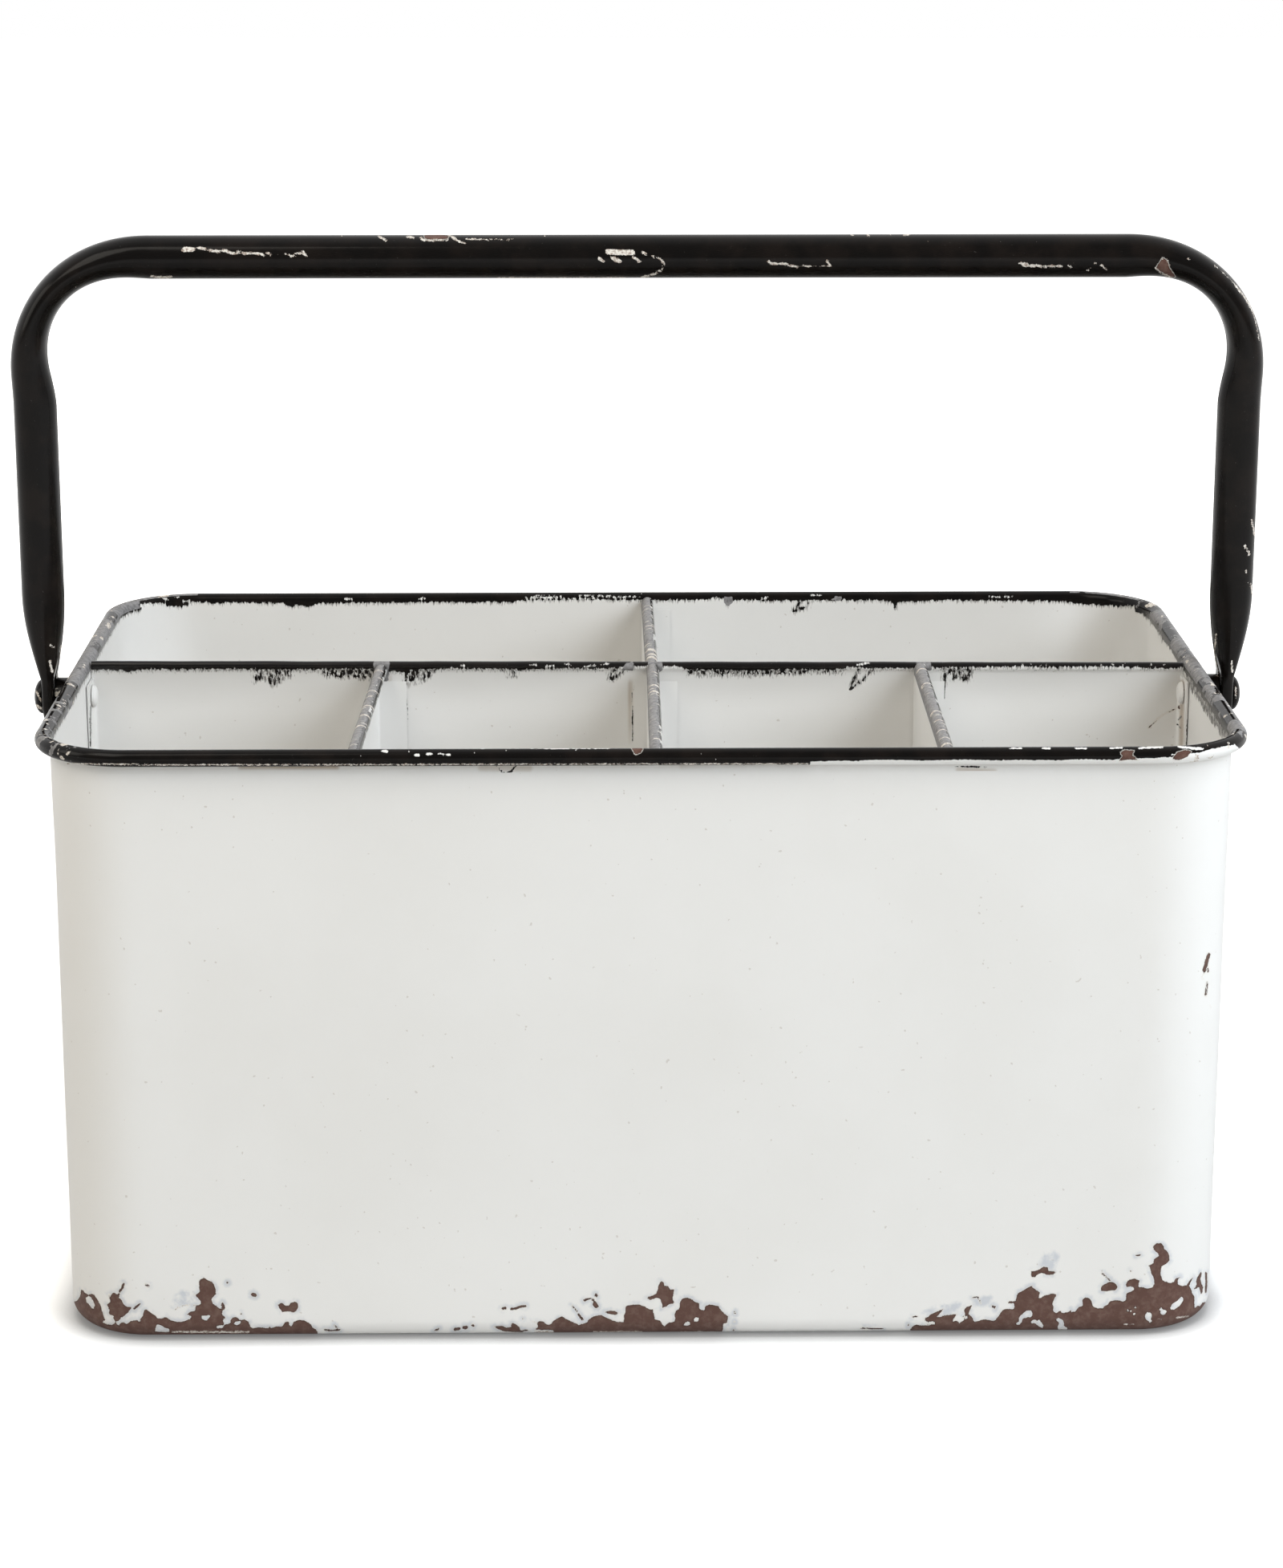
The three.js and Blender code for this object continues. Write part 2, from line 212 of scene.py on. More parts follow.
def waves(points, size, seed, octaves=3):
    """Smooth seeded noise at points in millimetres, about -1 to 1, with swells of about the given size."""
    shift = Vector((seed * 17.3, seed * 5.1, seed * 9.7))
    return np.array([noise.fractal(Vector(p) / size + shift, 1.0, 2.0, octaves) for p in points])


def smooth(low, high, value):
    """Share from 0 at low to 1 at high, with a soft start and end."""
    t = np.clip((value - low) / (high - low), 0, 1)
    return t * t * (3 - 2 * t)


# Outline of the bin, as lengths along its outer face from where the front left corner begins.
ARC_LENGTH = CORNER * math.pi / 2
FRONT_RUN = BIN_LENGTH - 2 * CORNER
SIDE_RUN = BIN_DEPTH - 2 * CORNER
OUTLINE_RUNS = (ARC_LENGTH, FRONT_RUN, ARC_LENGTH, SIDE_RUN, ARC_LENGTH, FRONT_RUN, ARC_LENGTH, SIDE_RUN)
FRONT_SPAN = 2 * ARC_LENGTH + FRONT_RUN


def bin_outline(lengths):
    """Outer points and outward directions, seen from above, at lengths along the outline."""
    x, y = STRAIGHT_HALF
    centres = ((-x, -y), (x, -y), (x, y), (-x, y))
    lengths = np.asarray(lengths, dtype=float)
    where = np.zeros((len(lengths), 2))
    outward = np.zeros((len(lengths), 2))
    start = 0.0
    for k, run in enumerate(OUTLINE_RUNS):
        inside = (lengths >= start - 1e-6) & (lengths <= start + run + 1e-6)
        gone = lengths[inside] - start
        corner = np.array(centres[k // 2])
        if k % 2 == 0:
            turn = math.pi + (k // 2) * math.pi / 2 + gone / CORNER
            way = np.stack([np.cos(turn), np.sin(turn)], axis=-1)
            where[inside] = corner + CORNER * way
            outward[inside] = way
        else:
            turn = math.pi + (k // 2 + 1) * math.pi / 2
            way = np.array([math.cos(turn), math.sin(turn)])
            along = np.array([-way[1], way[0]])
            where[inside] = corner + CORNER * way + gone[:, None] * along
            outward[inside] = way
        start += run
    return where, outward


def outline_columns(front_step, rest_step, corner_step):
    """Columns round the bin, fine in front, and how many cells the front has, a multiple of eight."""
    cells = 8 * round(FRONT_SPAN / front_step / 8)
    columns = [np.linspace(0, FRONT_SPAN, cells + 1)]
    start = FRONT_SPAN
    for k, run in enumerate(OUTLINE_RUNS[3:]):
        step = corner_step if k % 2 else rest_step
        columns.append(even(start, start + run, step)[1:])
        start += run
    return np.concatenate(columns)[:-1], cells


def outline_place(points):
    """How far points lie inside the bin's outer face, and the outward direction there, seen from above."""
    past = np.maximum(np.abs(points[:, :2]) - STRAIGHT_HALF, 0) * np.sign(points[:, :2])
    length = np.linalg.norm(past, axis=1)
    return CORNER - length, past / np.maximum(length, 1e-6)[:, None]


def bin_points(columns, inset, height):
    """One row of points round the bin."""
    where, outward = bin_outline(columns)
    plan = where - inset * outward
    return np.column_stack([plan, np.full(len(columns), height)])


# ------------------------------------------------------------------------------------------------ pieces

# Heights of the wall where its mesh is fine: the chipped foot, the scratched band, and the tops of the dividers.
FINE_TOP = 27.0
SCRATCH_LOW, SCRATCH_HIGH = 98.0, 128.0
FINE_FROM = 148.0
# Steps round the bin along its front, along the rest and round its back corners, for the wall and its rolled rim.
WALL_COLUMNS, ROLL_COLUMNS = (0.5, 3.6, 2.5), (0.7, 1.2, 0.9)
# Steps up the wall outside, up its rolled rim and down its inside, and cells of small rounds and of the foot's.
FINE, WALL_STEP, ROLL_STEP, INSIDE_STEP = 0.5, 4.2, 0.6, 6
ROUND_CELLS, FOOT_CELLS = 8, 18
# How often the columns are halved where the wall is coarse.
COARSE = 3
# Insets on the foot's flange where its columns are halved.
FLANGE_INSETS = (11, 9, 7.5)
# The top of the wall is this much thinner on each side where the rolled rim's strip takes it in.
TUCK, TUCK_HEIGHT = 0.12, 2
# Waves of the thin wall: their width, usual depth, how much that varies, and the greatest depth.
WAVE_WIDTH, WAVE_DEPTH, WAVE_SPREAD, WAVE_MOST = 95.0, 0.18, 0.2, 0.5
# Heights between which the waves come in above the foot and go out below the rim.
WAVES_IN, WAVES_OUT = (6, 40), (140, 172)


def wall_rows():
    """Rows of the wall's section as inset, height and how often its front columns have been halved."""
    flange_end = FOOT_RADIUS + FOOT_FLANGE
    rows = [(flange_end, 0, COARSE)] + [(inset, 0, COARSE - k) for k, inset in enumerate(FLANGE_INSETS)]
    outer = arc(FOOT_RADIUS, FOOT_RADIUS, FOOT_RADIUS, -QUARTER, -2 * QUARTER, FOOT_CELLS)
    rows += [(a, z, 0) for a, z in outer]
    rows += [(0, z, 0) for z in even(FOOT_RADIUS, FINE_TOP, FINE)[1:]]
    rows += [(0, FINE_TOP + 0.6, 1), (0, FINE_TOP + 1.8, 2), (0, FINE_TOP + 4, COARSE)]
    rows += [(0, z, COARSE) for z in even(FINE_TOP + 4, SCRATCH_LOW, WALL_STEP)[1:]] + [(0, SCRATCH_LOW + 2, 2)]
    rows += [(0, z, 1) for z in even(SCRATCH_LOW + 3, SCRATCH_HIGH - 3, 1)] + [(0, SCRATCH_HIGH - 2, 2)]
    rows += [(0, z, COARSE) for z in even(SCRATCH_HIGH, ROLL_Z, WALL_STEP)]
    rows += [(inset, ROLL_Z + rise, COARSE) for inset, rise in
             ((TUCK, 0), (TUCK, TUCK_HEIGHT), (SHEET - TUCK, TUCK_HEIGHT), (SHEET - TUCK, 0))]
    rows += [(SHEET, z, COARSE) for z in even(ROLL_Z, FOOT_RADIUS, INSIDE_STEP)]
    inner = arc(FOOT_RADIUS, FOOT_RADIUS, FOOT_RADIUS - SHEET, -2 * QUARTER, -QUARTER, ROUND_CELLS)[1:]
    rows += [(a, z, COARSE) for a, z in inner]
    return rows + [(flange_end, SHEET, COARSE)]


def wall_mesh():
    """Wall and foot in one sheet. Where a row has half the columns of the next, its faces have a fifth corner."""
    columns, cells = outline_columns(*WALL_COLUMNS)
    rest = list(range(cells + 1, len(columns)))
    points, faces, rows = [], [], []
    base = 0
    for inset, height, level in wall_rows():
        kept = list(range(0, cells + 1, 2 ** level)) + rest
        points.append(bin_points(columns[kept], inset, height))
        rows.append((level, {column: base + k for k, column in enumerate(kept)}, kept))
        base += len(kept)
    for (level_a, ids_a, kept_a), (level_b, ids_b, kept_b) in zip(rows, rows[1:] + rows[:1]):
        coarse = kept_a if level_a >= level_b else kept_b
        for start, end in zip(coarse, coarse[1:] + [0]):
            low = [ids_a[start], ids_a[end]]
            high = [ids_b[end], ids_b[start]]
            if level_a != level_b and 0 < end <= cells:
                finer, ids = (low, ids_a) if level_a < level_b else (high, ids_b)
                finer.insert(1, ids[(start + end) // 2])
            faces.append(low + high)
    return np.concatenate(points), faces


def buckled(points):
    """Slight waves of the thin wall, always inward, that fade at the rim and the foot."""
    _, way = outline_place(points)
    fade = smooth(*WAVES_IN, points[:, 2]) * (1 - smooth(*WAVES_OUT, points[:, 2]))
    depth = WAVE_DEPTH + WAVE_SPREAD * waves(points, WAVE_WIDTH, 3)
    points[:, :2] -= way * (np.clip(depth, 0, WAVE_MOST) * fade)[:, None]
    return points


# Gap between the end of the rolled sheet and the wall, and cells of the roll's inner and outer round.
MOUTH, ROLL_INNER_CELLS, ROLL_OUTER_CELLS = 0.4, 14, 30


def roll_section():
    """Rolled rim with the strip of wall that carries it: inset and height, from the outer face round."""
    mouth = -math.acos((BEAD_OUT - MOUTH) / BEAD)
    section = [(0, z) for z in even(ROLL_Z, RIM_Z, ROLL_STEP)[:-1]]
    section += arc(-BEAD_OUT, RIM_Z, BEAD_OUT, 0, 2 * math.pi + mouth, ROLL_INNER_CELLS)
    section += arc(-BEAD_OUT, RIM_Z, BEAD, 2 * math.pi + mouth, 0, ROLL_OUTER_CELLS)
    return section + [(SHEET, z) for z in even(RIM_Z, ROLL_Z, ROLL_STEP)[1:]]


def roll_mesh():
    columns, _ = outline_columns(*ROLL_COLUMNS)
    rings = np.stack([bin_points(columns, inset, height) for inset, height in roll_section()])
    return lofted(rings)


# Steps of a divider's mesh: on its flanges and its visible height, on its front, its rear and its foot.
FOLD_STEP, FACE_STEP, REAR_STEP, BASE_STEP = 0.8, 0.9, 4, 0.6
# Height over the pan's lip in which a divider's end comes back to the wall, and two rows of its mesh there.
LIP_CLEAR = 3
LOW_ROW, HIGH_ROW = 7, 14


def fold_plan(run, flange):
    """Divider seen from above: along its run and across towards its flanges, a strip with both ends folded."""
    centre, inside = FOLD - SHEET / 2, FOLD - SHEET
    outward, inward = even(centre, flange, FOLD_STEP), even(flange, centre, FOLD_STEP)
    plan = [(0, a) for a in inward[:-1]]
    plan += arc(FOLD, centre, FOLD, -2 * QUARTER, -QUARTER, ROUND_CELLS)
    plan += [(l, centre - FOLD) for l in even(FOLD, run - FOLD, REAR_STEP)[1:-1]]
    plan += arc(run - FOLD, centre, FOLD, -QUARTER, 0, ROUND_CELLS)
    plan += [(run, a) for a in outward[1:]] + [(run - SHEET, a) for a in inward[:-1]]
    plan += arc(run - FOLD, centre, inside, 0, -QUARTER, ROUND_CELLS)
    plan += [(l, centre - inside) for l in even(run - FOLD, FOLD, FACE_STEP)[1:-1]]
    plan += arc(FOLD, centre, inside, -QUARTER, -2 * QUARTER, ROUND_CELLS)
    return np.array(plan + [(SHEET, a) for a in outward[1:]])


def pan_clearance(height):
    """How far a divider's end draws back from the wall to clear the pan's bend and lip."""
    bend = FOOT_RADIUS - PAN_STAND - SHEET - GAP
    drop = max(0.0, min(bend, FOOT_RADIUS - height))
    if height > PAN_LIP + GAP:
        return PAN_STAND * (1 - smooth(PAN_LIP + GAP, PAN_LIP + LIP_CLEAR, height))
    return PAN_STAND + bend - math.sqrt(bend * bend - drop * drop)


def folded_sheet(run, flange, at_wall):
    """Upright strip with folded ends, in run, across and height. Ends at the wall draw back from the pan."""
    plan = fold_plan(run, flange)
    rows = []
    heights = [*even(DIVIDER_BASE, FOOT_RADIUS, BASE_STEP), LOW_ROW, PAN_LIP + GAP, PAN_LIP + LIP_CLEAR]
    heights += [*even(HIGH_ROW, FINE_FROM, REAR_STEP), *even(FINE_FROM, FLANGE_TOP, FOLD_STEP)[1:]]
    share = plan[:, 0] / run
    for height in heights:
        back = pan_clearance(height)
        along = plan[:, 0] + back * (at_wall[0] * (1 - share) - at_wall[1] * share)
        rows.append(np.column_stack([along, plan[:, 1], np.full(len(plan), height)]))
    return lofted(np.stack(rows), loop=False, caps=True)


# Long divider's pressed edge: how far it stands over the sheet's faces, the turn at which its round ends, how
# steeply it runs down from there, cells of the round, rows of the slope, and the press's unevenness with its size.
HEM_SKIN, HEM_MOUTH, HEM_SLOPE, HEM_CELLS, SLOPE_STATIONS = 0.02, -0.9, 1.9, 22, 12
LONG_PRESS, LONG_PRESS_SIZE, LONG_HEM_STEP = 0.12, 22.0, 0.8
# Cross dividers' rolled edge: its gap, how far its strip stands inside the sheet's face and reaches down in it, the
# drop at which the round begins, cells of its inner and outer round, and the press's squeeze, spread and size.
ROLL_GAP, STRIP_TUCK, STRIP_FOOT, STRIP_BARE = 0.3, 0.05, 2, 0.8
HEM_INNER_CELLS, HEM_OUTER_CELLS = 12, 26
CROSS_PRESS, CROSS_PRESS_SPREAD, CROSS_PRESS_SIZE, HEM_STEP = 0.03, 0.035, 9.0, 0.7


def flat_hem_section():
    """Pressed top edge of the long divider, a small round that runs down into the sheet on its front."""
    half, radius, mouth = SHEET / 2 + HEM_SKIN, LONG_HEM, HEM_MOUTH
    middle = radius - half
    section = [(-half, z) for z in even(LONG_HEM_FOOT, LONG_HEM_Z, ROLL_STEP)[:-1]]
    section += arc(middle, LONG_HEM_Z, radius, math.pi, mouth, HEM_CELLS)
    low = LONG_HEM_Z + radius * math.sin(mouth)
    out = middle + radius * math.cos(mouth)
    for gone in np.linspace(0, 1, SLOPE_STATIONS)[1:]:
        section.append((half + (out - half) * (1 - gone) ** HEM_SLOPE, low + (LONG_HEM_FOOT - low) * gone))
    return np.array(section)


def hem_section():
    """Rolled top edge of a divider: across and height. Its strip reaches down into the folded sheet."""
    inside, middle, half = HEM - SHEET, HEM - SHEET / 2, SHEET / 2
    tucked, foot = half - STRIP_TUCK, FLANGE_TOP + 0.01
    mouth = -math.acos(-(inside - ROLL_GAP) / HEM)
    section = [(-tucked, FLANGE_TOP - STRIP_FOOT), (tucked, FLANGE_TOP - STRIP_FOOT), (tucked, FLANGE_TOP)]
    section += [(half, foot), (half, HEM_Z - STRIP_BARE)]
    section += arc(middle, HEM_Z, inside, math.pi, mouth, HEM_INNER_CELLS)
    section += arc(middle, HEM_Z, HEM, mouth, math.pi, HEM_OUTER_CELLS)
    section += [(-half, z) for z in even(HEM_Z, foot, ROLL_STEP)[1:]]
    return np.array(section + [(-tucked, FLANGE_TOP)])


def press(place, size, seed, octaves):
    """Seeded unevenness along a run, as from a press."""
    return noise.fractal(Vector((place / size, seed, 0.0)), 1.0, 2.0, octaves)


def swept(section_at, places):
    """Strip with a section of its own at each place along a run."""
    rings = []
    for place in places:
        section = section_at(place)
        rings.append(np.column_stack([np.full(len(section), place), section]))
    return lofted(np.stack(rings), loop=False, caps=True)


def flat_hem_strip(run):
    """Pressed edge along a run. Its top falls a little from the left end of the bin to the right end."""
    section = flat_hem_section()
    share = smooth(LONG_HEM_FOOT, LONG_HEM_Z, section[:, 1])

    def section_at(place):
        lean = HEM_LEAN * (place / run - 0.5) + LONG_PRESS * press(place, LONG_PRESS_SIZE, seed=5.0, octaves=2)
        return np.column_stack([section[:, 0], section[:, 1] + lean * share])

    return swept(section_at, even(0, run, LONG_HEM_STEP))


def hem_strip(start, run, seed):
    """Rolled edge along a run, pressed a little unevenly, always inside its own round."""
    section = hem_section()
    middle = np.array([HEM - SHEET / 2, HEM_Z])
    off = section - middle
    reach = np.linalg.norm(off, axis=1)
    bead = reach <= HEM + 1e-3
    outside = smooth(HEM - 0.2, HEM, reach[bead])

    def section_at(place):
        squeeze = CROSS_PRESS + CROSS_PRESS_SPREAD * press(place, CROSS_PRESS_SIZE, seed, octaves=3)
        shape = section.copy()
        shape[bead] = middle + off[bead] * (1 - max(0.0, squeeze) * outside)[:, None]
        return shape

    return swept(section_at, even(start, run, HEM_STEP))


def placed(part, start, along, across):
    """Run, across and height turned into the frame's own axes."""
    points, faces = part
    plan = np.array(start) + points[:, :1] * np.array(along) + points[:, 1:2] * np.array(across)
    return np.column_stack([plan, points[:, 2]]), faces


def cross_divider_mesh(x, rear, front, hem_short, at_wall, seed):
    """Divider from rear to front with flanges to the right. Its rolled edge begins a little short of its rear."""
    run = rear - front
    parts = (folded_sheet(run, CROSS_FLANGE, at_wall), hem_strip(hem_short, run, seed))
    return joined([placed(part, (x, rear), (0, -1), (1, 0)) for part in parts])


def long_divider_mesh():
    run = INNER_LENGTH - 2 * GAP
    parts = (folded_sheet(run, LONG_FLANGE, (1, 1)), flat_hem_strip(run))
    return joined([placed(part, (run / 2, LONG_Y), (-1, 0), (0, -1)) for part in parts])


def front_divider_mesh(node, seed):
    rear, front = LONG_FRONT - GAP, -INNER_DEPTH / 2 + GAP
    points, faces = cross_divider_mesh(CROSS_X[node], rear, front, 2 * LONG_HEM - SHEET, (0, 1), seed)
    points[:, 0] += np.interp(points[:, 1], (front, rear), CROSS_SKEW[node][::-1])
    return points, faces


def back_divider_mesh():
    return cross_divider_mesh(BACK_X, INNER_DEPTH / 2 - GAP, LONG_BACK + GAP, 0, (1, 0), 7)


# Cells round the handle outside and inside, and round rivets and bushes.
OUTER_STEPS, INNER_STEPS, TURN_STEPS = 48, 16, 48
# Stations of the handle: in the round end of a tab and in its crimp, and steps along tab, leg, bend and bar.
END_STATIONS, CRIMP_STATIONS = 14, 41
TAB_STEP, LEG_STEP, BEND_STEP, BAR_STEP = 0.8, 0.9, 0.7, 0.8
# Share of the tube's half-sizes that it loses and gains in its bends, and its split, wider on the tabs.
BEND_FLATTER, BEND_WIDER = 0.28, 0.22
SPLIT, TAB_SPLIT, TAB_SPLIT_SHARE = 0.7, 4.4, 0.55
# Lowest station of a tab below the pivot.
TAB_END = TAB_RADIUS * 0.985


def handle_places():
    """Right half of the handle, from the end of the tab up the leg, round the bend and along the bar: x, z, how
    far it has turned, how much it is bent and how much it is pressed flat."""
    legs, places = BAR_Z - BEND_RADIUS, []
    bend_x = LEG_REACH - BEND_RADIUS
    arc_length = BEND_RADIUS * QUARTER
    crimp_top = TAB_TOP + CRIMP_LENGTH
    for gone in np.linspace(0, 1, END_STATIONS):
        places.append((TAB_REACH, PIVOT_Z - TAB_END * math.cos(gone * QUARTER), 0, 0, 1))
    places += [(TAB_REACH, z, 0, 0, 1) for z in even(PIVOT_Z, TAB_TOP, TAB_STEP)[1:]]
    for gone in np.linspace(0, 1, CRIMP_STATIONS)[1:]:
        crimp = (1 - gone) ** 2
        places.append((LEG_REACH + (TAB_REACH - LEG_REACH) * crimp, TAB_TOP + CRIMP_LENGTH * gone, 0, 0, crimp))
    places += [(LEG_REACH, z, 0, 0, 0) for z in even(crimp_top, legs - BEND_LEAD, LEG_STEP)[1:]]
    for s in even(-BEND_LEAD, arc_length, BEND_STEP)[1:]:
        bend = max(0.0, math.sin(math.pi * (s + BEND_LEAD) / (arc_length + BEND_LEAD))) ** 1.5
        turn = max(0.0, s) / BEND_RADIUS
        reach = BEND_RADIUS + BEND_DRIFT * bend
        rise = legs + min(0.0, s)
        places.append((bend_x + reach * math.cos(turn), rise + reach * math.sin(turn), turn, bend, 0))
    return places + [(x, BAR_Z, QUARTER, 0, 0) for x in even(bend_x, 0, BAR_STEP)[1:]]


def split_round(a, b, split, crimp, steps):
    """Split oval of half-sizes a and b, pressed towards a flat strip with round edges."""
    opened = math.asin(min(0.9, split / b))
    round_edge = min(a, b)
    angle = np.linspace(opened - math.pi, math.pi - opened, steps + 1)
    across = b * np.sin(angle)
    over = np.maximum(0, np.abs(across) - (b - round_edge))
    flat = np.sign(np.cos(angle)) * a * np.sqrt(np.maximum(0, 1 - (over / round_edge) ** 2))
    return np.column_stack([a * np.cos(angle) * (1 - crimp) + flat * crimp, across])


def handle_ring(place):
    x, z, turn, bend, crimp = place
    below = max(0.0, PIVOT_Z - z)
    tab_half = math.sqrt(max(0.2, TAB_RADIUS ** 2 - below ** 2))
    half = TUBE_FLAT * TUBE * (1 - BEND_FLATTER * bend) * (1 - crimp) + TAB / 2 * crimp
    breadth = TUBE * (1 + BEND_WIDER * bend) * (1 - crimp) + tab_half * crimp
    split = (SPLIT * (1 - crimp) + min(TAB_SPLIT, tab_half * TAB_SPLIT_SHARE) * crimp) / 2
    outer = split_round(half, breadth, split, crimp, OUTER_STEPS)
    inner_breadth = max(breadth - TUBE_WALL, 0.3 * breadth)
    inner = split_round(half - TUBE_WALL, inner_breadth, split, crimp, INNER_STEPS)[::-1]
    section = np.concatenate([outer, inner])
    return np.column_stack([x + section[:, 0] * math.cos(turn), section[:, 1], z + section[:, 0] * math.sin(turn)])


def handle_mesh():
    """Both halves of the handle, with the ends of its tabs closed between the outer and the inner face."""
    right = np.stack([handle_ring(place) for place in handle_places()])
    left = (right * np.array([-1, 1, 1]))[::-1]
    rings = np.concatenate([right, left[1:]])
    points, faces = lofted(rings, loop=False)
    count = rings.shape[1]
    for base, flip in ((0, False), ((len(rings) - 1) * count, True)):
        outer = [base + k for k in range(OUTER_STEPS + 1)]
        inner = [base + count - 1 - k for k in range(INNER_STEPS + 1)]
        for k in range(INNER_STEPS):
            first = round(k * OUTER_STEPS / INNER_STEPS)
            last = round((k + 1) * OUTER_STEPS / INNER_STEPS)
            face = outer[first:last + 1] + [inner[k + 1], inner[k]]
            faces.append(face if flip else face[::-1])
    return points, faces


def turned(profile, side):
    """Rings about the pivot axis from radius and x points, on one side of the bin."""
    turn = np.linspace(0, 2 * math.pi, TURN_STEPS, endpoint=False)
    return np.stack([np.column_stack([np.full(TURN_STEPS, side * x), radius * np.cos(turn),
                                      PIVOT_Z + radius * np.sin(turn)]) for radius, x in profile])


def rivet_mesh(side):
    """Small closed tail inside the bin, shank, and a domed head that was set with a slightly uneven round."""
    tail = INNER_LENGTH / 2 - 2 * GAP - SHEET
    head = TAB_OUTER + GAP
    profile = [(radius, tail - inside) for radius, inside in TAIL_ROUND]
    profile += [(RIVET_SHANK, tail), (RIVET_SHANK, head), (RIVET_HEAD - 0.2, head), (RIVET_HEAD, head + HEAD_EDGE)]
    profile += [(RIVET_HEAD * math.cos(a), head + HEAD_EDGE + HEAD_RISE * math.sin(a))
                for a in np.linspace(*HEAD_ARC, HEAD_STATIONS)]
    points, faces = lofted(turned(profile, side), loop=False, caps=True)
    points[:, 1] *= 1 - HEAD_UNEVEN * np.cos(3 * np.arctan2(points[:, 1], points[:, 2] - PIVOT_Z)) ** 2
    return points, faces


def spacer_mesh(side):
    """Bush with a neck that passes under the rolled rim and a collar outside it."""
    near, far, step = BIN_LENGTH / 2 + GAP, TAB_INNER - GAP, RIM_REACH + GAP
    neck = PIVOT_DROP - BEAD - 2 * GAP
    profile = [(neck - EASE, near), (neck, near + EASE), (neck, step), (COLLAR - EASE, step)]
    profile += [(COLLAR, step + EASE), (COLLAR, far - EASE), (COLLAR - EASE, far), (BORE, far), (BORE, near)]
    return lofted(turned(profile, side))


def seam_mesh():
    """Lap of the wall's two ends at the back, with shallow dimples of its spot welds."""
    half, face, back = SEAM_HALF, BIN_DEPTH / 2 + SHEET, BIN_DEPTH / 2 - SHEET / 2
    rows = []
    for z in even(FOOT_RADIUS, RIM_Z - BEAD - GAP, SEAM_ROW):
        ring = []
        up = (z - WELD_FROM) % WELD_PITCH - WELD_PITCH / 2
        for x in even(-half, half, SEAM_COLUMN):
            edge = smooth(0, SEAM_COLUMN, half - abs(x)) * SEAM_EDGE
            weld = WELD_DEPTH * math.exp(-((x / WELD_RADIUS) ** 2 + (up / WELD_RADIUS) ** 2))
            ring.append((SEAM_X + x, face - SEAM_EDGE + edge - weld, z))
        rows.append(ring + [(SEAM_X + half, back, z), (SEAM_X - half, back, z)])
    return lofted(np.array(rows), loop=False, caps=True)
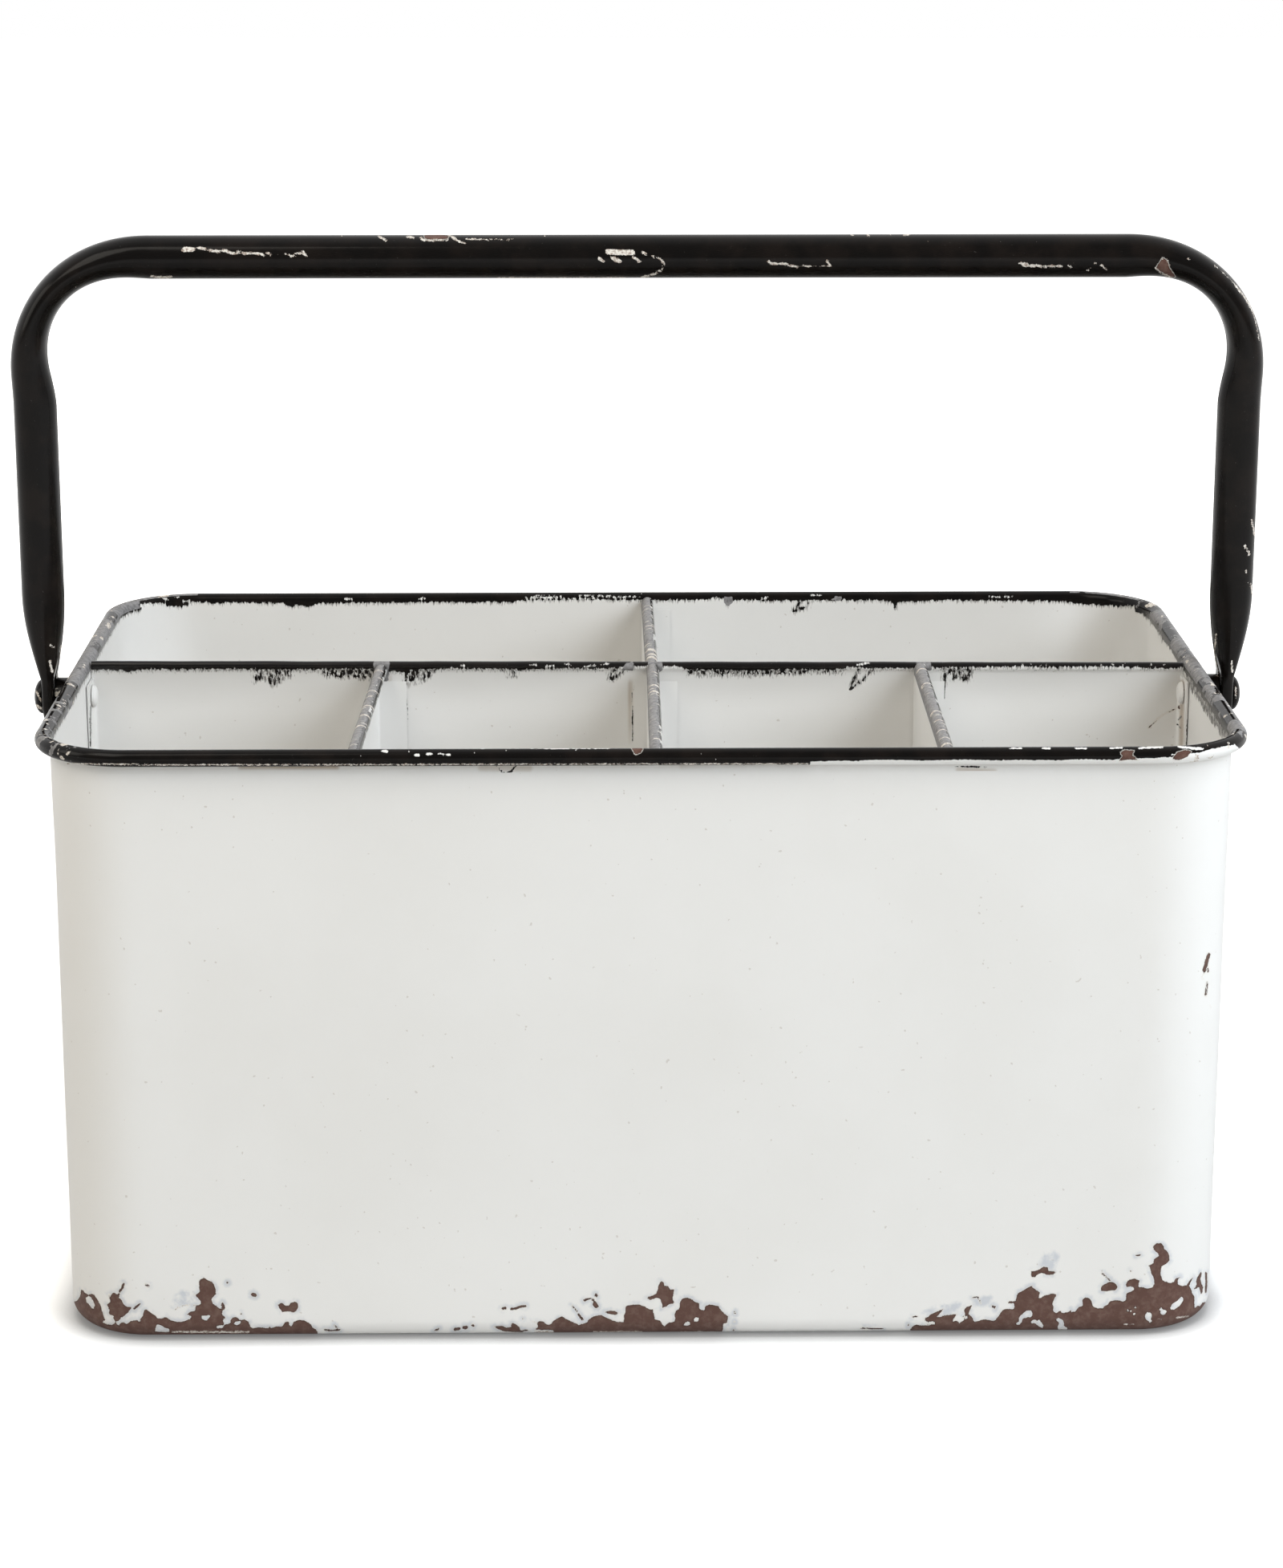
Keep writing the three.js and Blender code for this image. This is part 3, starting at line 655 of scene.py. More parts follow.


# ----------------------------------------------------------------------------------- marks of wear, in pixels
# Outlines and strokes followed in the photograph. Each is laid on the surface that the camera sees there.
# A mark is a flat run of columns and rows: an outline by itself, or a stroke or dot behind its width. An edge is
# a line from left to right.

# Chips along the foot, and islands of enamel left in them.
FOOT_CHIPS = (
    (80, 1625, 96, 1622, 100, 1616, 101, 1608, 104, 1609, 106, 1612, 110, 1614, 114, 1613, 117, 1614,
     120, 1618, 123, 1623, 126, 1629, 127, 1634, 129, 1640, 130, 1644, 132, 1646, 129, 1647, 128, 1649,
     133, 1651, 140, 1652, 144, 1649, 148, 1653, 151, 1649, 155, 1649, 158, 1651, 161, 1649, 163, 1647,
     172, 1646, 173, 1648, 175, 1647, 175, 1644, 178, 1641, 179, 1636, 180, 1633, 183, 1633, 186, 1635,
     190, 1638, 195, 1641, 196, 1644, 202, 1644, 207, 1642, 212, 1646, 220, 1648, 227, 1648, 233, 1646,
     238, 1644, 238, 1641, 233, 1639, 236, 1636, 240, 1635, 244, 1634, 244, 1629, 240, 1627, 246, 1627.5,
     251, 1626, 250, 1622, 246, 1617.5, 242, 1614, 245, 1614, 249, 1611, 248, 1599, 249, 1596, 254, 1593,
     258, 1596, 264, 1598, 267, 1602, 269, 1607, 269, 1614, 264, 1619, 264, 1622, 266, 1626, 271, 1629,
     275, 1633, 277, 1630, 275, 1626, 277.5, 1623, 280, 1628, 281, 1632, 277.5, 1634, 277, 1639, 282, 1643,
     277.5, 1645, 280, 1651, 285, 1651, 288, 1649, 287, 1645, 294, 1641.5, 300, 1646, 305, 1645, 310, 1648,
     312, 1654, 315, 1656, 322, 1655, 334, 1656, 336, 1654, 339, 1656, 344, 1654, 352, 1654, 356, 1648,
     360, 1647.5, 361, 1652, 364, 1654, 366, 1648, 372, 1646, 379, 1646, 386, 1650, 390, 1655, 393, 1657,
     396, 1660, 396, 1672, 80, 1672),
    (140, 1612, 143, 1612, 146, 1614, 151, 1609, 148, 1618, 152, 1621, 154, 1626, 157, 1629, 164, 1630,
     162, 1634, 157, 1639, 153, 1642, 150, 1641, 151, 1644, 147, 1647, 144, 1648, 141, 1644, 142, 1641,
     137, 1639, 135, 1637, 137, 1634, 134, 1629, 133, 1626, 138, 1623, 136, 1619, 136, 1614, 138, 1617),
    (346, 1627, 349, 1625, 353, 1625, 355, 1628, 360, 1628, 362, 1625, 367, 1623, 371, 1624, 372, 1630,
     370, 1634, 366, 1636.5, 360, 1635, 352, 1636, 349, 1632, 347, 1629),
    (615, 1654, 625, 1653, 631, 1655, 637, 1655, 638, 1649, 643, 1651, 648, 1655, 649, 1659, 657, 1657.5,
     659, 1659, 650, 1661, 645, 1661, 629, 1660, 621, 1657),
    (661, 1647, 670, 1649, 673, 1647, 678, 1648, 681, 1651, 684, 1652, 687, 1651, 691, 1646, 697, 1643,
     701, 1641, 705, 1644, 709, 1646, 714, 1648, 722, 1652, 727, 1650, 732, 1649.5, 734, 1645, 741, 1641,
     750, 1639.5, 754, 1642, 763, 1646, 771, 1648.5, 778, 1648, 778, 1640, 780, 1636, 780, 1628.5, 786, 1627,
     797, 1626.5, 803, 1628.5, 807, 1631, 811, 1633, 815, 1632, 814, 1635, 816, 1640, 816.5, 1645, 823, 1646.5,
     826.5, 1652, 829, 1654, 832, 1650, 841, 1648, 842, 1644, 841, 1638.5, 843, 1634, 847, 1632, 848, 1623,
     851, 1619, 858.5, 1618, 863, 1620, 866.5, 1623.5, 872, 1625, 872, 1631.5, 876.5, 1634, 879, 1633,
     879, 1628.5, 885, 1626.5, 896, 1628.5, 899, 1633.5, 904, 1638.5, 908, 1641, 906.5, 1650, 901.5, 1650.5,
     902, 1656, 900, 1661.5, 900, 1672, 690, 1672, 690, 1658.5, 667, 1658, 671, 1654, 670, 1650),
    (824, 1597, 828, 1599, 828.5, 1603.5, 833, 1603.5, 836, 1608, 841, 1607.5, 840, 1613, 838.5, 1620,
     841.5, 1625, 834, 1626.5, 831.5, 1629, 825, 1631, 826, 1627, 823.5, 1620, 818.5, 1618, 810.5, 1621,
     806.5, 1618, 813, 1615.5, 818.5, 1613, 820, 1608.5, 821.5, 1602),
    (727, 1620, 731, 1619, 736.5, 1618, 741, 1620, 743.5, 1623.5, 746.5, 1628, 746, 1631.5, 741.5, 1630.5,
     739, 1627, 740, 1623, 736, 1620, 728, 1623),
    (753.5, 1635, 763, 1634, 773, 1637, 767, 1639.5, 758.5, 1638),
    (1135, 1658, 1138, 1654, 1142, 1651.5, 1149, 1652.5, 1160, 1652.5, 1156.5, 1649, 1152, 1644.5,
     1157.5, 1642, 1160, 1639, 1166, 1636.5, 1173, 1633.5, 1176.5, 1632, 1173, 1637, 1168, 1642, 1173, 1642,
     1178, 1640, 1185, 1639.5, 1194, 1638, 1190.5, 1642, 1187.5, 1647.5, 1194, 1646.5, 1196.5, 1650,
     1200, 1647.5, 1202.5, 1645.5, 1199.5, 1642, 1203.5, 1640, 1202, 1633, 1205.5, 1629.5, 1212, 1627.5,
     1209.5, 1633.5, 1207.5, 1638, 1212, 1642, 1215, 1647.5, 1220, 1647.5, 1225, 1645, 1231, 1645.5,
     1240, 1647, 1245, 1641.5, 1247.5, 1637, 1252, 1632.5, 1255, 1632, 1264, 1632.5, 1265.5, 1629.5,
     1264, 1625, 1256, 1625, 1259, 1622, 1267, 1622.5, 1268, 1615.5, 1270.5, 1611.5, 1276.5, 1609,
     1281, 1605.5, 1288, 1602.5, 1287, 1605, 1290.5, 1607, 1293.5, 1609, 1297.5, 1612.5, 1295.5, 1614.5,
     1295.5, 1618.5, 1299, 1618.5, 1301, 1615.5, 1307, 1614.5, 1313, 1612.5, 1318, 1614.5, 1314, 1620.5,
     1312.5, 1625, 1314, 1630.5, 1313, 1635, 1317.5, 1637, 1322.5, 1634, 1324.5, 1637.5, 1333, 1635.5,
     1335.5, 1633, 1336, 1636, 1341, 1635, 1346, 1629, 1350.5, 1628.5, 1349.5, 1620.5, 1353.5, 1617.5,
     1359, 1619, 1361, 1622.5, 1363, 1629, 1368, 1631, 1375.5, 1631.5, 1377, 1628.5, 1381, 1627, 1383.5, 1623,
     1387, 1621.5, 1395, 1621, 1400, 1623, 1404, 1621, 1404.5, 1612, 1410, 1611, 1414, 1608, 1413.5, 1605,
     1410, 1604, 1404.5, 1605, 1404, 1601, 1407, 1596, 1415, 1594, 1421.5, 1597, 1420, 1600, 1420, 1605,
     1425, 1605, 1430, 1606.5, 1437, 1605.5, 1440, 1600, 1439.5, 1596, 1437.5, 1591, 1435.5, 1587,
     1434.5, 1582, 1432.5, 1578, 1439, 1575, 1439, 1570, 1445.5, 1566, 1444, 1563, 1438, 1558, 1438, 1554,
     1441, 1550, 1446, 1548, 1448, 1550.5, 1451.5, 1553.5, 1452, 1557.5, 1456, 1561, 1458.5, 1566,
     1458.5, 1572, 1455, 1575.5, 1449, 1579, 1447.5, 1584, 1447.5, 1590, 1450, 1596, 1453, 1598, 1460, 1600,
     1464.5, 1598, 1466, 1594, 1472.5, 1592, 1468.5, 1596, 1469, 1601, 1474, 1603.5, 1480, 1603, 1482, 1599,
     1485, 1595, 1488.5, 1591, 1486.5, 1596, 1483, 1603, 1485, 1607, 1487.5, 1614, 1489.5, 1616, 1489.5, 1623,
     1490, 1631, 1494.5, 1627.5, 1495.5, 1629, 1500, 1624, 1512, 1622, 1512, 1672, 1135, 1672),
    (1491.5, 1598, 1494, 1591, 1497.5, 1586, 1499, 1587, 1497, 1595, 1498.5, 1601, 1500.5, 1605, 1499, 1613,
     1497.5, 1614, 1495.5, 1605, 1488.5, 1608, 1492.5, 1602),
    (1286, 1585, 1290.5, 1585, 1296.5, 1582.5, 1301, 1579.5, 1307, 1580.5, 1307.5, 1584.5, 1317.5, 1586,
     1313, 1589.5, 1305, 1589.5, 1299, 1587, 1294, 1589, 1290.5, 1593, 1286, 1592),
    (1373, 1609.5, 1373, 1605, 1376.5, 1601.5, 1383, 1598.5, 1389.5, 1599, 1394, 1604, 1392, 1608.5,
     1379, 1610), (541, 1659, 545, 1656, 548, 1655.5, 547, 1659),
    (1236, 1628.5, 1237.5, 1627, 1242, 1628.5, 1241, 1633), (3, 152, 1607, 154, 1601),
    (2.5, 149, 1610, 151, 1608), (3, 182, 1602, 185, 1603.5), (2.5, 167, 1632, 174, 1626),
    (4.5, 315, 1614, 318, 1615), (3, 283.5, 1599.5), (2.5, 300.5, 1638), (2, 405, 1658, 414, 1659, 424, 1658),
    (2, 417, 1652.5, 421, 1656), (3.5, 567, 1657.5, 573, 1656.5), (4.5, 579, 1655, 581.5, 1655),
    (3, 589, 1652, 590.5, 1653), (3.5, 627, 1631.5, 630, 1631),
    (3, 637.5, 1632, 643, 1631.5, 649, 1629, 655, 1628.5), (2, 652, 1644), (3.5, 743, 1614.5, 744, 1616),
    (2, 713.5, 1628, 719.5, 1635), (3, 721.5, 1639, 726.5, 1645), (2.5, 916, 1636, 916.5, 1637.5),
    (2, 916, 1648), (2, 915, 1658.5), (1.6, 1074, 1656, 1088, 1656.5, 1101, 1656.5),
    (1.6, 1138, 1642, 1144, 1641.5), (2.5, 1133, 1652), (2.5, 1504, 1587, 1504.5, 1599, 1503.5, 1611),
    (2, 1374, 1587.5, 1377, 1590, 1384, 1596), (1.6, 1212.5, 1618, 1219.5, 1617, 1223, 1625),
    (2, 1417, 1565.5, 1422, 1565), (2, 1410.5, 1585))
FOOT_ISLANDS = (
    (107, 1618, 111, 1616, 113, 1617, 116, 1622, 118, 1628, 117, 1632, 114, 1631, 111, 1626, 108, 1624),
    (195, 1651, 200, 1652, 206, 1656, 211, 1657, 211, 1661, 193, 1660, 195, 1654),
    (250, 1641, 260, 1640, 263, 1641, 260, 1644, 257.5, 1647, 252.5, 1644.5),
    (291, 1650, 295, 1647.5, 301, 1647, 300, 1650, 295, 1652.5),
    (269, 1653, 280, 1652, 277.5, 1656, 271, 1656), (852, 1652, 856, 1648, 860, 1648, 861, 1652, 857, 1653),
    (865, 1645, 868, 1642, 872, 1644, 870, 1648, 866, 1648),
    (1157.5, 1648, 1165, 1647.5, 1166, 1651, 1158, 1651), (1202, 1641, 1207, 1641, 1207, 1644.5, 1203, 1644),
    (1270.5, 1642.5, 1275.5, 1638, 1280, 1634, 1285.5, 1634, 1288, 1638, 1286, 1642.5, 1281, 1642.5,
     1275.5, 1644, 1274, 1648.5, 1271, 1652, 1267, 1651.5, 1267.5, 1649, 1271, 1648),
    (1285.5, 1647.5, 1290.5, 1645, 1292.5, 1647.5, 1295.5, 1645, 1298, 1647.5, 1301, 1653, 1300, 1656,
     1295.5, 1654, 1290.5, 1649.5, 1286.5, 1650),
    (1316.5, 1645, 1320, 1643, 1325.5, 1646, 1327, 1650.5, 1326.5, 1653, 1331, 1656, 1330.5, 1658,
     1319, 1657.5, 1319.5, 1653, 1320.5, 1649),
    (1428, 1639, 1431, 1636, 1435.5, 1637, 1436.5, 1641, 1435, 1645, 1436.5, 1648, 1435, 1650, 1430.5, 1646,
     1428, 1643),
    (1445, 1632, 1449, 1630.5, 1450, 1633.5, 1454, 1633.5, 1455, 1636, 1451, 1639.5, 1447, 1638, 1447, 1635),
    (1459, 1631, 1462, 1626, 1469, 1621, 1473, 1616.5, 1475.5, 1618, 1475.5, 1622, 1471, 1628, 1465, 1632.5,
     1460.5, 1633), (2.5, 1406, 1634), (2.5, 1410, 1634.5), (3, 1414.5, 1638.5), (2.5, 1416, 1630))

# Enamel rubbed thin along the foot, and grey flakes that still hold above the primer.
FOOT_RUBS = (
    (3, 215, 1660.5, 310, 1661), (2.5, 667, 1660, 690, 1661), (2.5, 740, 1661, 800, 1660.5),
    (2.5, 850, 1661, 895, 1661), (2.5, 1222, 1661, 1272, 1661), (2, 1402, 1651, 1413, 1651),
    (2, 1444, 1645, 1448, 1645), (2.5, 1467, 1643, 1482, 1641), (2, 218, 1633, 225, 1629, 240, 1626))
FOOT_FLAKES = (
    (216, 1628, 220, 1618, 228, 1611, 234, 1614, 237, 1622),
    (1298, 1576, 1303, 1566, 1312, 1562, 1318, 1567, 1314, 1580, 1302, 1580),
    (1214, 1625, 1222, 1617, 1234, 1618, 1230, 1625),
    (1153, 1638, 1170, 1630, 1196, 1627, 1190, 1633, 1172, 1638))
WALL_SCRATCHES = (
    (4.4, 1508, 1190, 1505, 1200, 1502, 1211), (3, 1500, 1220), (2.4, 1506, 1206, 1507, 1213),
    (2.6, 1506, 1225, 1505, 1233, 1504, 1242), (2.6, 1510, 1255))

# Front of the rolled rim: worn places and flecks that show white through the black, and the rest of its wear. Below
# it a brown band is stain with painted shadow under the bead and its drips.
FRONT_RIM_WORN = (
    (1010, 949.5, 1045, 948.5, 1060, 949, 1085, 947.5, 1120, 947.5, 1150, 948.5, 1200, 947, 1235, 948,
     1280, 947.5, 1320, 948, 1350, 946.5, 1385, 947.5, 1400, 946, 1440, 945, 1465, 943.5, 1480, 940, 1497, 938,
     1510, 934, 1540, 928, 1552, 938, 1540, 955, 1480, 958, 1010, 958), (3, 476, 936.5, 483, 936.5),
    (2, 510, 937), (3, 517, 941.5, 523, 941.5), (2.5, 533, 940, 539, 940), (2, 546, 940, 549, 940),
    (2.5, 553, 941, 561, 941), (2, 566, 935), (2, 592, 939), (2, 611, 939), (1.6, 632, 936), (2, 701, 941),
    (1.6, 717, 935), (1.6, 450, 942), (1.6, 230, 939), (1.6, 280, 937), (2, 175, 935), (2, 875, 940),
    (2, 893, 947), (1.8, 600, 932.5, 640, 932, 690, 933, 760, 932.5), (2.4, 655, 932, 672, 932),
    (2.2, 705, 932, 716, 932), (1.8, 1260, 933, 1275, 933), (1.8, 1300, 933, 1310, 933),
    (1.8, 1340, 933, 1355, 933), (2.2, 1385, 933, 1400, 932), (2.4, 1420, 933, 1450, 931),
    (3, 1470, 931, 1500, 934), (2, 1462, 941, 1486, 943))
FRONT_RIM_CHIPS = (
    (788, 933, 790, 937, 792, 941, 800, 938, 802, 932, 795, 931),
    (1397, 938, 1402, 935, 1414, 936, 1412, 942, 1420, 948, 1406, 947, 1395, 949, 1400, 943),
    (1462, 946, 1468, 938, 1478, 935, 1486, 937, 1480, 944, 1470, 948))
FRONT_RIM_LIP = ((1.7, 82, 952, 200, 953.5, 400, 953.5, 600, 953, 800, 952.5, 1008, 952.5),)
FRONT_RIM_DRIP = (
    (2.2, 619, 954, 624, 961, 631, 964.5, 638, 961.5, 643, 955), (2, 1190, 955, 1230, 957),
    (1.6, 925, 953, 927, 954))
# Brown band under the bead and under its drips: stain with painted shadow.
FRONT_RIM_STAIN_AND_SHADOW = (
    (5, 600, 957, 660, 958), (3, 1195, 960, 1240, 962), (3, 300, 956, 420, 956), (3, 850, 955, 930, 955))
FRONT_RIM_SCUFFS = ((50, 922, 60, 926, 72, 936, 84, 942, 74, 943, 60, 938), (1543, 912, 1550, 911, 1549, 920))

# Back of the rim, seen from inside: where its black ends below, and what is worn out of it.
BACK_RIM_EDGE = (
    180, 752, 204, 752, 208, 756, 232, 756, 238, 751, 300, 751.5, 354, 752, 362, 757, 374, 754, 385, 757,
    400, 752, 560, 751, 640, 751, 652, 748, 760, 747.5, 800, 748, 884, 748, 890, 745, 908, 746, 914, 748,
    990, 749, 1100, 748.5, 1111, 751, 1116, 755, 1120, 751, 1180, 748, 1240, 749, 1330, 750, 1352, 754,
    1362, 753, 1374, 756, 1384, 754, 1394, 757, 1405, 755, 1440, 760)
BACK_RIM_FLECKS = (
    (3, 203, 745, 209, 747), (2.5, 216, 743, 222, 744), (3, 229, 749, 236, 750), (1.6, 655, 745.5, 700, 744.5),
    (1.4, 690, 747, 742, 746), (2, 720, 742, 760, 743), (1.5, 765, 745, 798, 744), (1.6, 670, 741, 690, 741),
    (2.5, 950, 747, 957, 745), (2, 1038, 747, 1050, 748), (1.6, 1010, 742, 1024, 742),
    (1.6, 1230, 744, 1262, 744), (2, 430, 747, 438, 747), (1.6, 520, 746, 533, 746))
BACK_RIM_DRIPS = (
    (3, 991, 762, 997, 750, 1003, 743), (2.6, 992, 762, 1004, 757, 1011, 748), (2, 1116, 757, 1115, 750),
    (2, 906, 754, 908, 748))
BACK_RIM_SCUFFS = (
    (902, 744, 913, 744, 914, 751, 908, 756, 903, 752), (1040, 743, 1050, 744, 1048, 750, 1040, 749))

# Top edge of the long divider, and lines and stains on what shows of the compartments. The black lines at the
# flanges' edges are painted shadow of the gaps between flanges and wall.
LONG_HEM_EDGE = (
    80, 838, 105, 840, 120, 836, 180, 834.5, 250, 834, 318, 834, 340, 835, 400, 834.5, 470, 834, 484, 837,
    500, 838, 530, 835, 560, 833, 632, 834, 650, 835, 700, 833, 755, 834, 770, 832, 790, 830.5, 845, 830.5,
    858, 835, 920, 836.5, 985, 835, 1048, 835, 1060, 831, 1072, 832, 1085, 833.5, 1135, 833, 1180, 832,
    1212, 832, 1260, 831, 1310, 832, 1375, 831, 1420, 832, 1460, 832, 1480, 836, 1500, 838)
LONG_HEM_STROKES = (
    (2.2, 322, 834, 319, 842, 318, 849), (2.5, 506.5, 838, 506.5, 854), (3, 760, 846, 763, 838, 771, 831),
    (2.4, 764, 847, 774, 839, 785, 829), (2, 1072, 832, 1066, 845, 1059, 861),
    (2, 1092, 830, 1083, 841, 1070, 852, 1060, 861), (2, 1186, 834, 1183, 840), (2.4, 1190, 835, 1188, 847),
    (2, 1212, 832, 1209, 840, 1207, 848), (3, 1484, 836, 1488, 846, 1488, 862), (4, 1480, 836, 1490, 842),
    (5, 118, 834, 132, 836), (4, 112, 848, 122, 842, 134, 838), (3, 96, 838, 108, 846),
    (1.4, 402, 838, 415, 840, 430, 838, 445, 841, 465, 838), (2, 400, 836, 405, 839))
LONG_HEM_FLECKS = (
    (2, 662, 829, 668, 829), (2.4, 681, 831, 690, 830), (2, 702, 828, 712, 829), (1.8, 728, 831, 742, 830),
    (2, 750, 829, 758, 828), (2.6, 1070, 829, 1083, 826), (2.6, 1277, 830), (2.2, 1286, 828.5),
    (2.4, 1297, 830), (2, 1306, 829), (2.6, 1374, 829.5), (2.2, 1388, 828.5), (2.6, 1402, 829.5),
    (2.2, 1419, 829), (2.4, 1436, 829), (2, 1452, 828.5), (1.8, 576, 830, 580, 830))
LONG_HEM_SMEARS = (
    (320, 832, 318, 850, 328, 846, 334, 850, 341, 857, 352, 849, 366, 842, 362, 832),
    (400, 832, 404, 843, 430, 845, 452, 846, 466, 850, 468, 832),
    (508, 834, 509, 848, 518, 853, 532, 847, 548, 834), (630, 834, 634, 843, 644, 844, 652, 834),
    (856, 830, 858, 841, 900, 843, 950, 842, 1000, 840, 1050, 838, 1054, 830),
    (1186, 832, 1190, 846, 1206, 850, 1214, 832), (80, 840, 96, 832, 112, 838, 108, 852, 98, 862, 84, 858))
LONG_HEM_SCUFFS = (
    (775, 836, 780, 827, 790, 825, 790, 836), (466, 822, 486, 822, 484, 850, 466, 850),
    (1142, 820, 1160, 820, 1162, 836, 1144, 836), (808, 820, 826, 820, 826, 838, 808, 838))
INSIDE_SCRATCHES = ((1.4, 1432, 908, 1445, 895, 1452, 890, 1470, 882), (1.8, 1470, 880, 1471, 884))
INSIDE_SHADOW_LINES = (
    (1.6, 1473, 893, 1470, 897), (1.4, 1468, 903, 1472, 908), (1.3, 113, 880, 113, 931),
    (1.2, 507.5, 840, 508, 930), (1.6, 1177.5, 832, 1178, 872), (3.6, 1482.5, 893, 1481, 931),
    (1.2, 789, 860, 789, 925))
LONG_HEM_GRIME = (
    (6, 482, 845, 480, 930), (5, 1150, 824, 1162, 824), (3, 786, 850, 786, 925), (4, 1474, 850, 1473, 930),
    (5, 476, 842, 486, 846), (7, 82, 846, 104, 850), (4, 1145, 826, 1163, 826))

# Bar and legs of the handle: scrapes down to the primer's pale ground with painted glints along the legs' edges,
# chips, and a painted reflection on the right bend.
# Among the scrapes, the thin lines down the legs' edges are painted glints and reflections.
HANDLE_SCRAPES_AND_GLINTS = (
    (6, 229, 311, 240, 311), (3.4, 247, 309, 262, 312, 275, 314), (3.4, 278, 312, 290, 316, 300, 314),
    (3.2, 303, 316, 315, 315, 330, 318), (3, 333, 315, 338, 318), (2, 347, 318), (2.6, 355, 316, 360, 318),
    (3.2, 362, 320, 370, 317, 378, 314, 382, 320), (2, 427, 294), (2, 94, 357),
    (2.4, 472, 294, 476, 297, 482, 300), (2.6, 508, 295, 516, 296.5), (3.2, 525, 296, 529, 300),
    (2.2, 531, 299.5, 558, 299), (2.4, 560, 294, 567, 296), (2.4, 565, 297, 573, 301, 580, 303),
    (2, 580, 298.5, 592, 298), (1.5, 592, 298.5, 640, 299), (2, 658, 306), (2, 679, 294),
    (7, 758, 314, 788, 315), (4, 747, 322, 753, 326), (5, 764, 322, 773, 326), (4, 791, 322, 798, 326),
    (3.4, 801, 314.5, 805, 316.5), (2.6, 812, 320, 822, 321, 828, 328, 826, 336, 815, 342, 800, 346),
    (1.6, 620, 346.5, 700, 347, 780, 346.5), (3, 958, 326, 962, 329, 978, 329, 994, 333),
    (2.4, 1000, 331, 1010, 332), (1.4, 1010, 331, 1030, 331), (3.2, 1032, 325, 1035, 332),
    (2.2, 1061, 292, 1064, 294), (2.2, 1081, 292, 1084, 294), (2, 1110, 292), (2.4, 1127, 293, 1134, 292),
    (2, 1157, 301), (2, 1247, 301), (2, 1292, 302), (2.6, 1271, 328, 1281, 329), (3.2, 1277, 331, 1298, 331.5),
    (3, 1298, 332.5, 1324, 332), (3, 1333, 331, 1336, 333), (2, 1340, 327),
    (2, 1365, 329, 1373, 330, 1380, 336), (1.8, 1355, 338, 1362, 333), (1.8, 1481, 322, 1484, 325),
    (1.8, 1488, 326), (2.4, 62, 804, 67, 807), (3, 62, 824, 65, 838), (1.8, 85, 690, 87, 735),
    (2, 1561, 648, 1565, 668), (3, 1552, 680, 1558, 690), (2, 1556, 695), (2, 1553, 709, 1555, 715),
    (2, 1552, 727, 1560, 727, 1562, 741), (2.4, 1536, 824, 1537, 838), (2.6, 188, 344.5, 200, 346, 214, 345),
    (2, 1448, 322, 1455, 323, 1459, 333), (1.6, 1461, 346, 1447, 340, 1441, 334), (1.8, 80, 783, 81, 800),
    (6, 78, 806, 77, 830), (4.5, 77, 830, 75, 842), (1.8, 1517, 790, 1514, 812, 1519, 840),
    (1.6, 1570, 800, 1566, 836))
BAR_CHIPS = (
    (529, 293, 545, 292, 560, 294, 558, 298, 540, 299, 530, 298),
    (1444, 330, 1450, 321, 1456, 325, 1459, 335, 1466, 345, 1460, 346, 1447, 338, 1441, 335))
# Painted reflection on the right bend.
BEND_REFLECTION = (
    (2.8, 1513, 330, 1525, 340, 1540, 355), (4, 1540, 355, 1552, 370, 1562, 388),
    (2.6, 1562, 388, 1567, 405, 1570, 425))
RIVET_HEAD_WEAR = (
    (2.2, 45, 862, 50, 872, 57, 880), (3, 46, 880, 55, 886), (1.8, 1541, 857, 1541, 870),
    (2, 1544, 878, 1548, 881))


def path_distance(pixels, path):
    """Distance in pixels from each point to an open path, which may be a single point."""
    if len(path) == 1:
        return np.linalg.norm(pixels - path[0], axis=1)
    best = np.full(len(pixels), np.inf)
    for a, b in zip(path, path[1:]):
        side = b - a
        share = np.clip(((pixels - a) @ side) / max(side @ side, 1e-9), 0, 1)
        best = np.minimum(best, np.linalg.norm(pixels - a - share[:, None] * side, axis=1))
    return best


def area_depth(pixels, ring):
    """Depth in pixels inside a closed outline, negative outside it."""
    distance = path_distance(pixels, np.concatenate([ring, ring[:1]]))
    inside = np.zeros(len(pixels), dtype=bool)
    x, y = pixels[:, 0], pixels[:, 1]
    for (ax, ay), (bx, by) in zip(ring, np.roll(ring, -1, axis=0)):
        if ay != by:
            crossing = ax + (y - ay) * (bx - ax) / (by - ay)
            inside ^= ((ay > y) != (by > y)) & (x < crossing)
    return np.where(inside, distance, -distance)


def marked(pixels, scale, marks, reach=4.0):
    """Field of a set of marks in millimetres: positive inside them, negative outside, down to -reach."""
    field = np.full(len(pixels), -reach)
    for mark in marks:
        is_stroke = len(mark) % 2
        width = mark[0] if is_stroke else 0
        path = np.array(mark[is_stroke:], dtype=float).reshape(-1, 2)
        margin = reach * scale + width
        low, high = path.min(axis=0) - margin, path.max(axis=0) + margin
        close = np.all((pixels > low) & (pixels < high), axis=1)
        near = pixels[close]
        depth = width / 2 - path_distance(near, path) if is_stroke else area_depth(near, path)
        field[close] = np.maximum(field[close], depth / scale)
    return field


def below_line(pixels, line, scale):
    """Millimetres above a line that runs from left to right, as the camera sees it."""
    return (np.interp(pixels[:, 0], line[0::2], line[1::2]) - pixels[:, 1]) / scale


# --------------------------------------------------------------------------------------------- materials

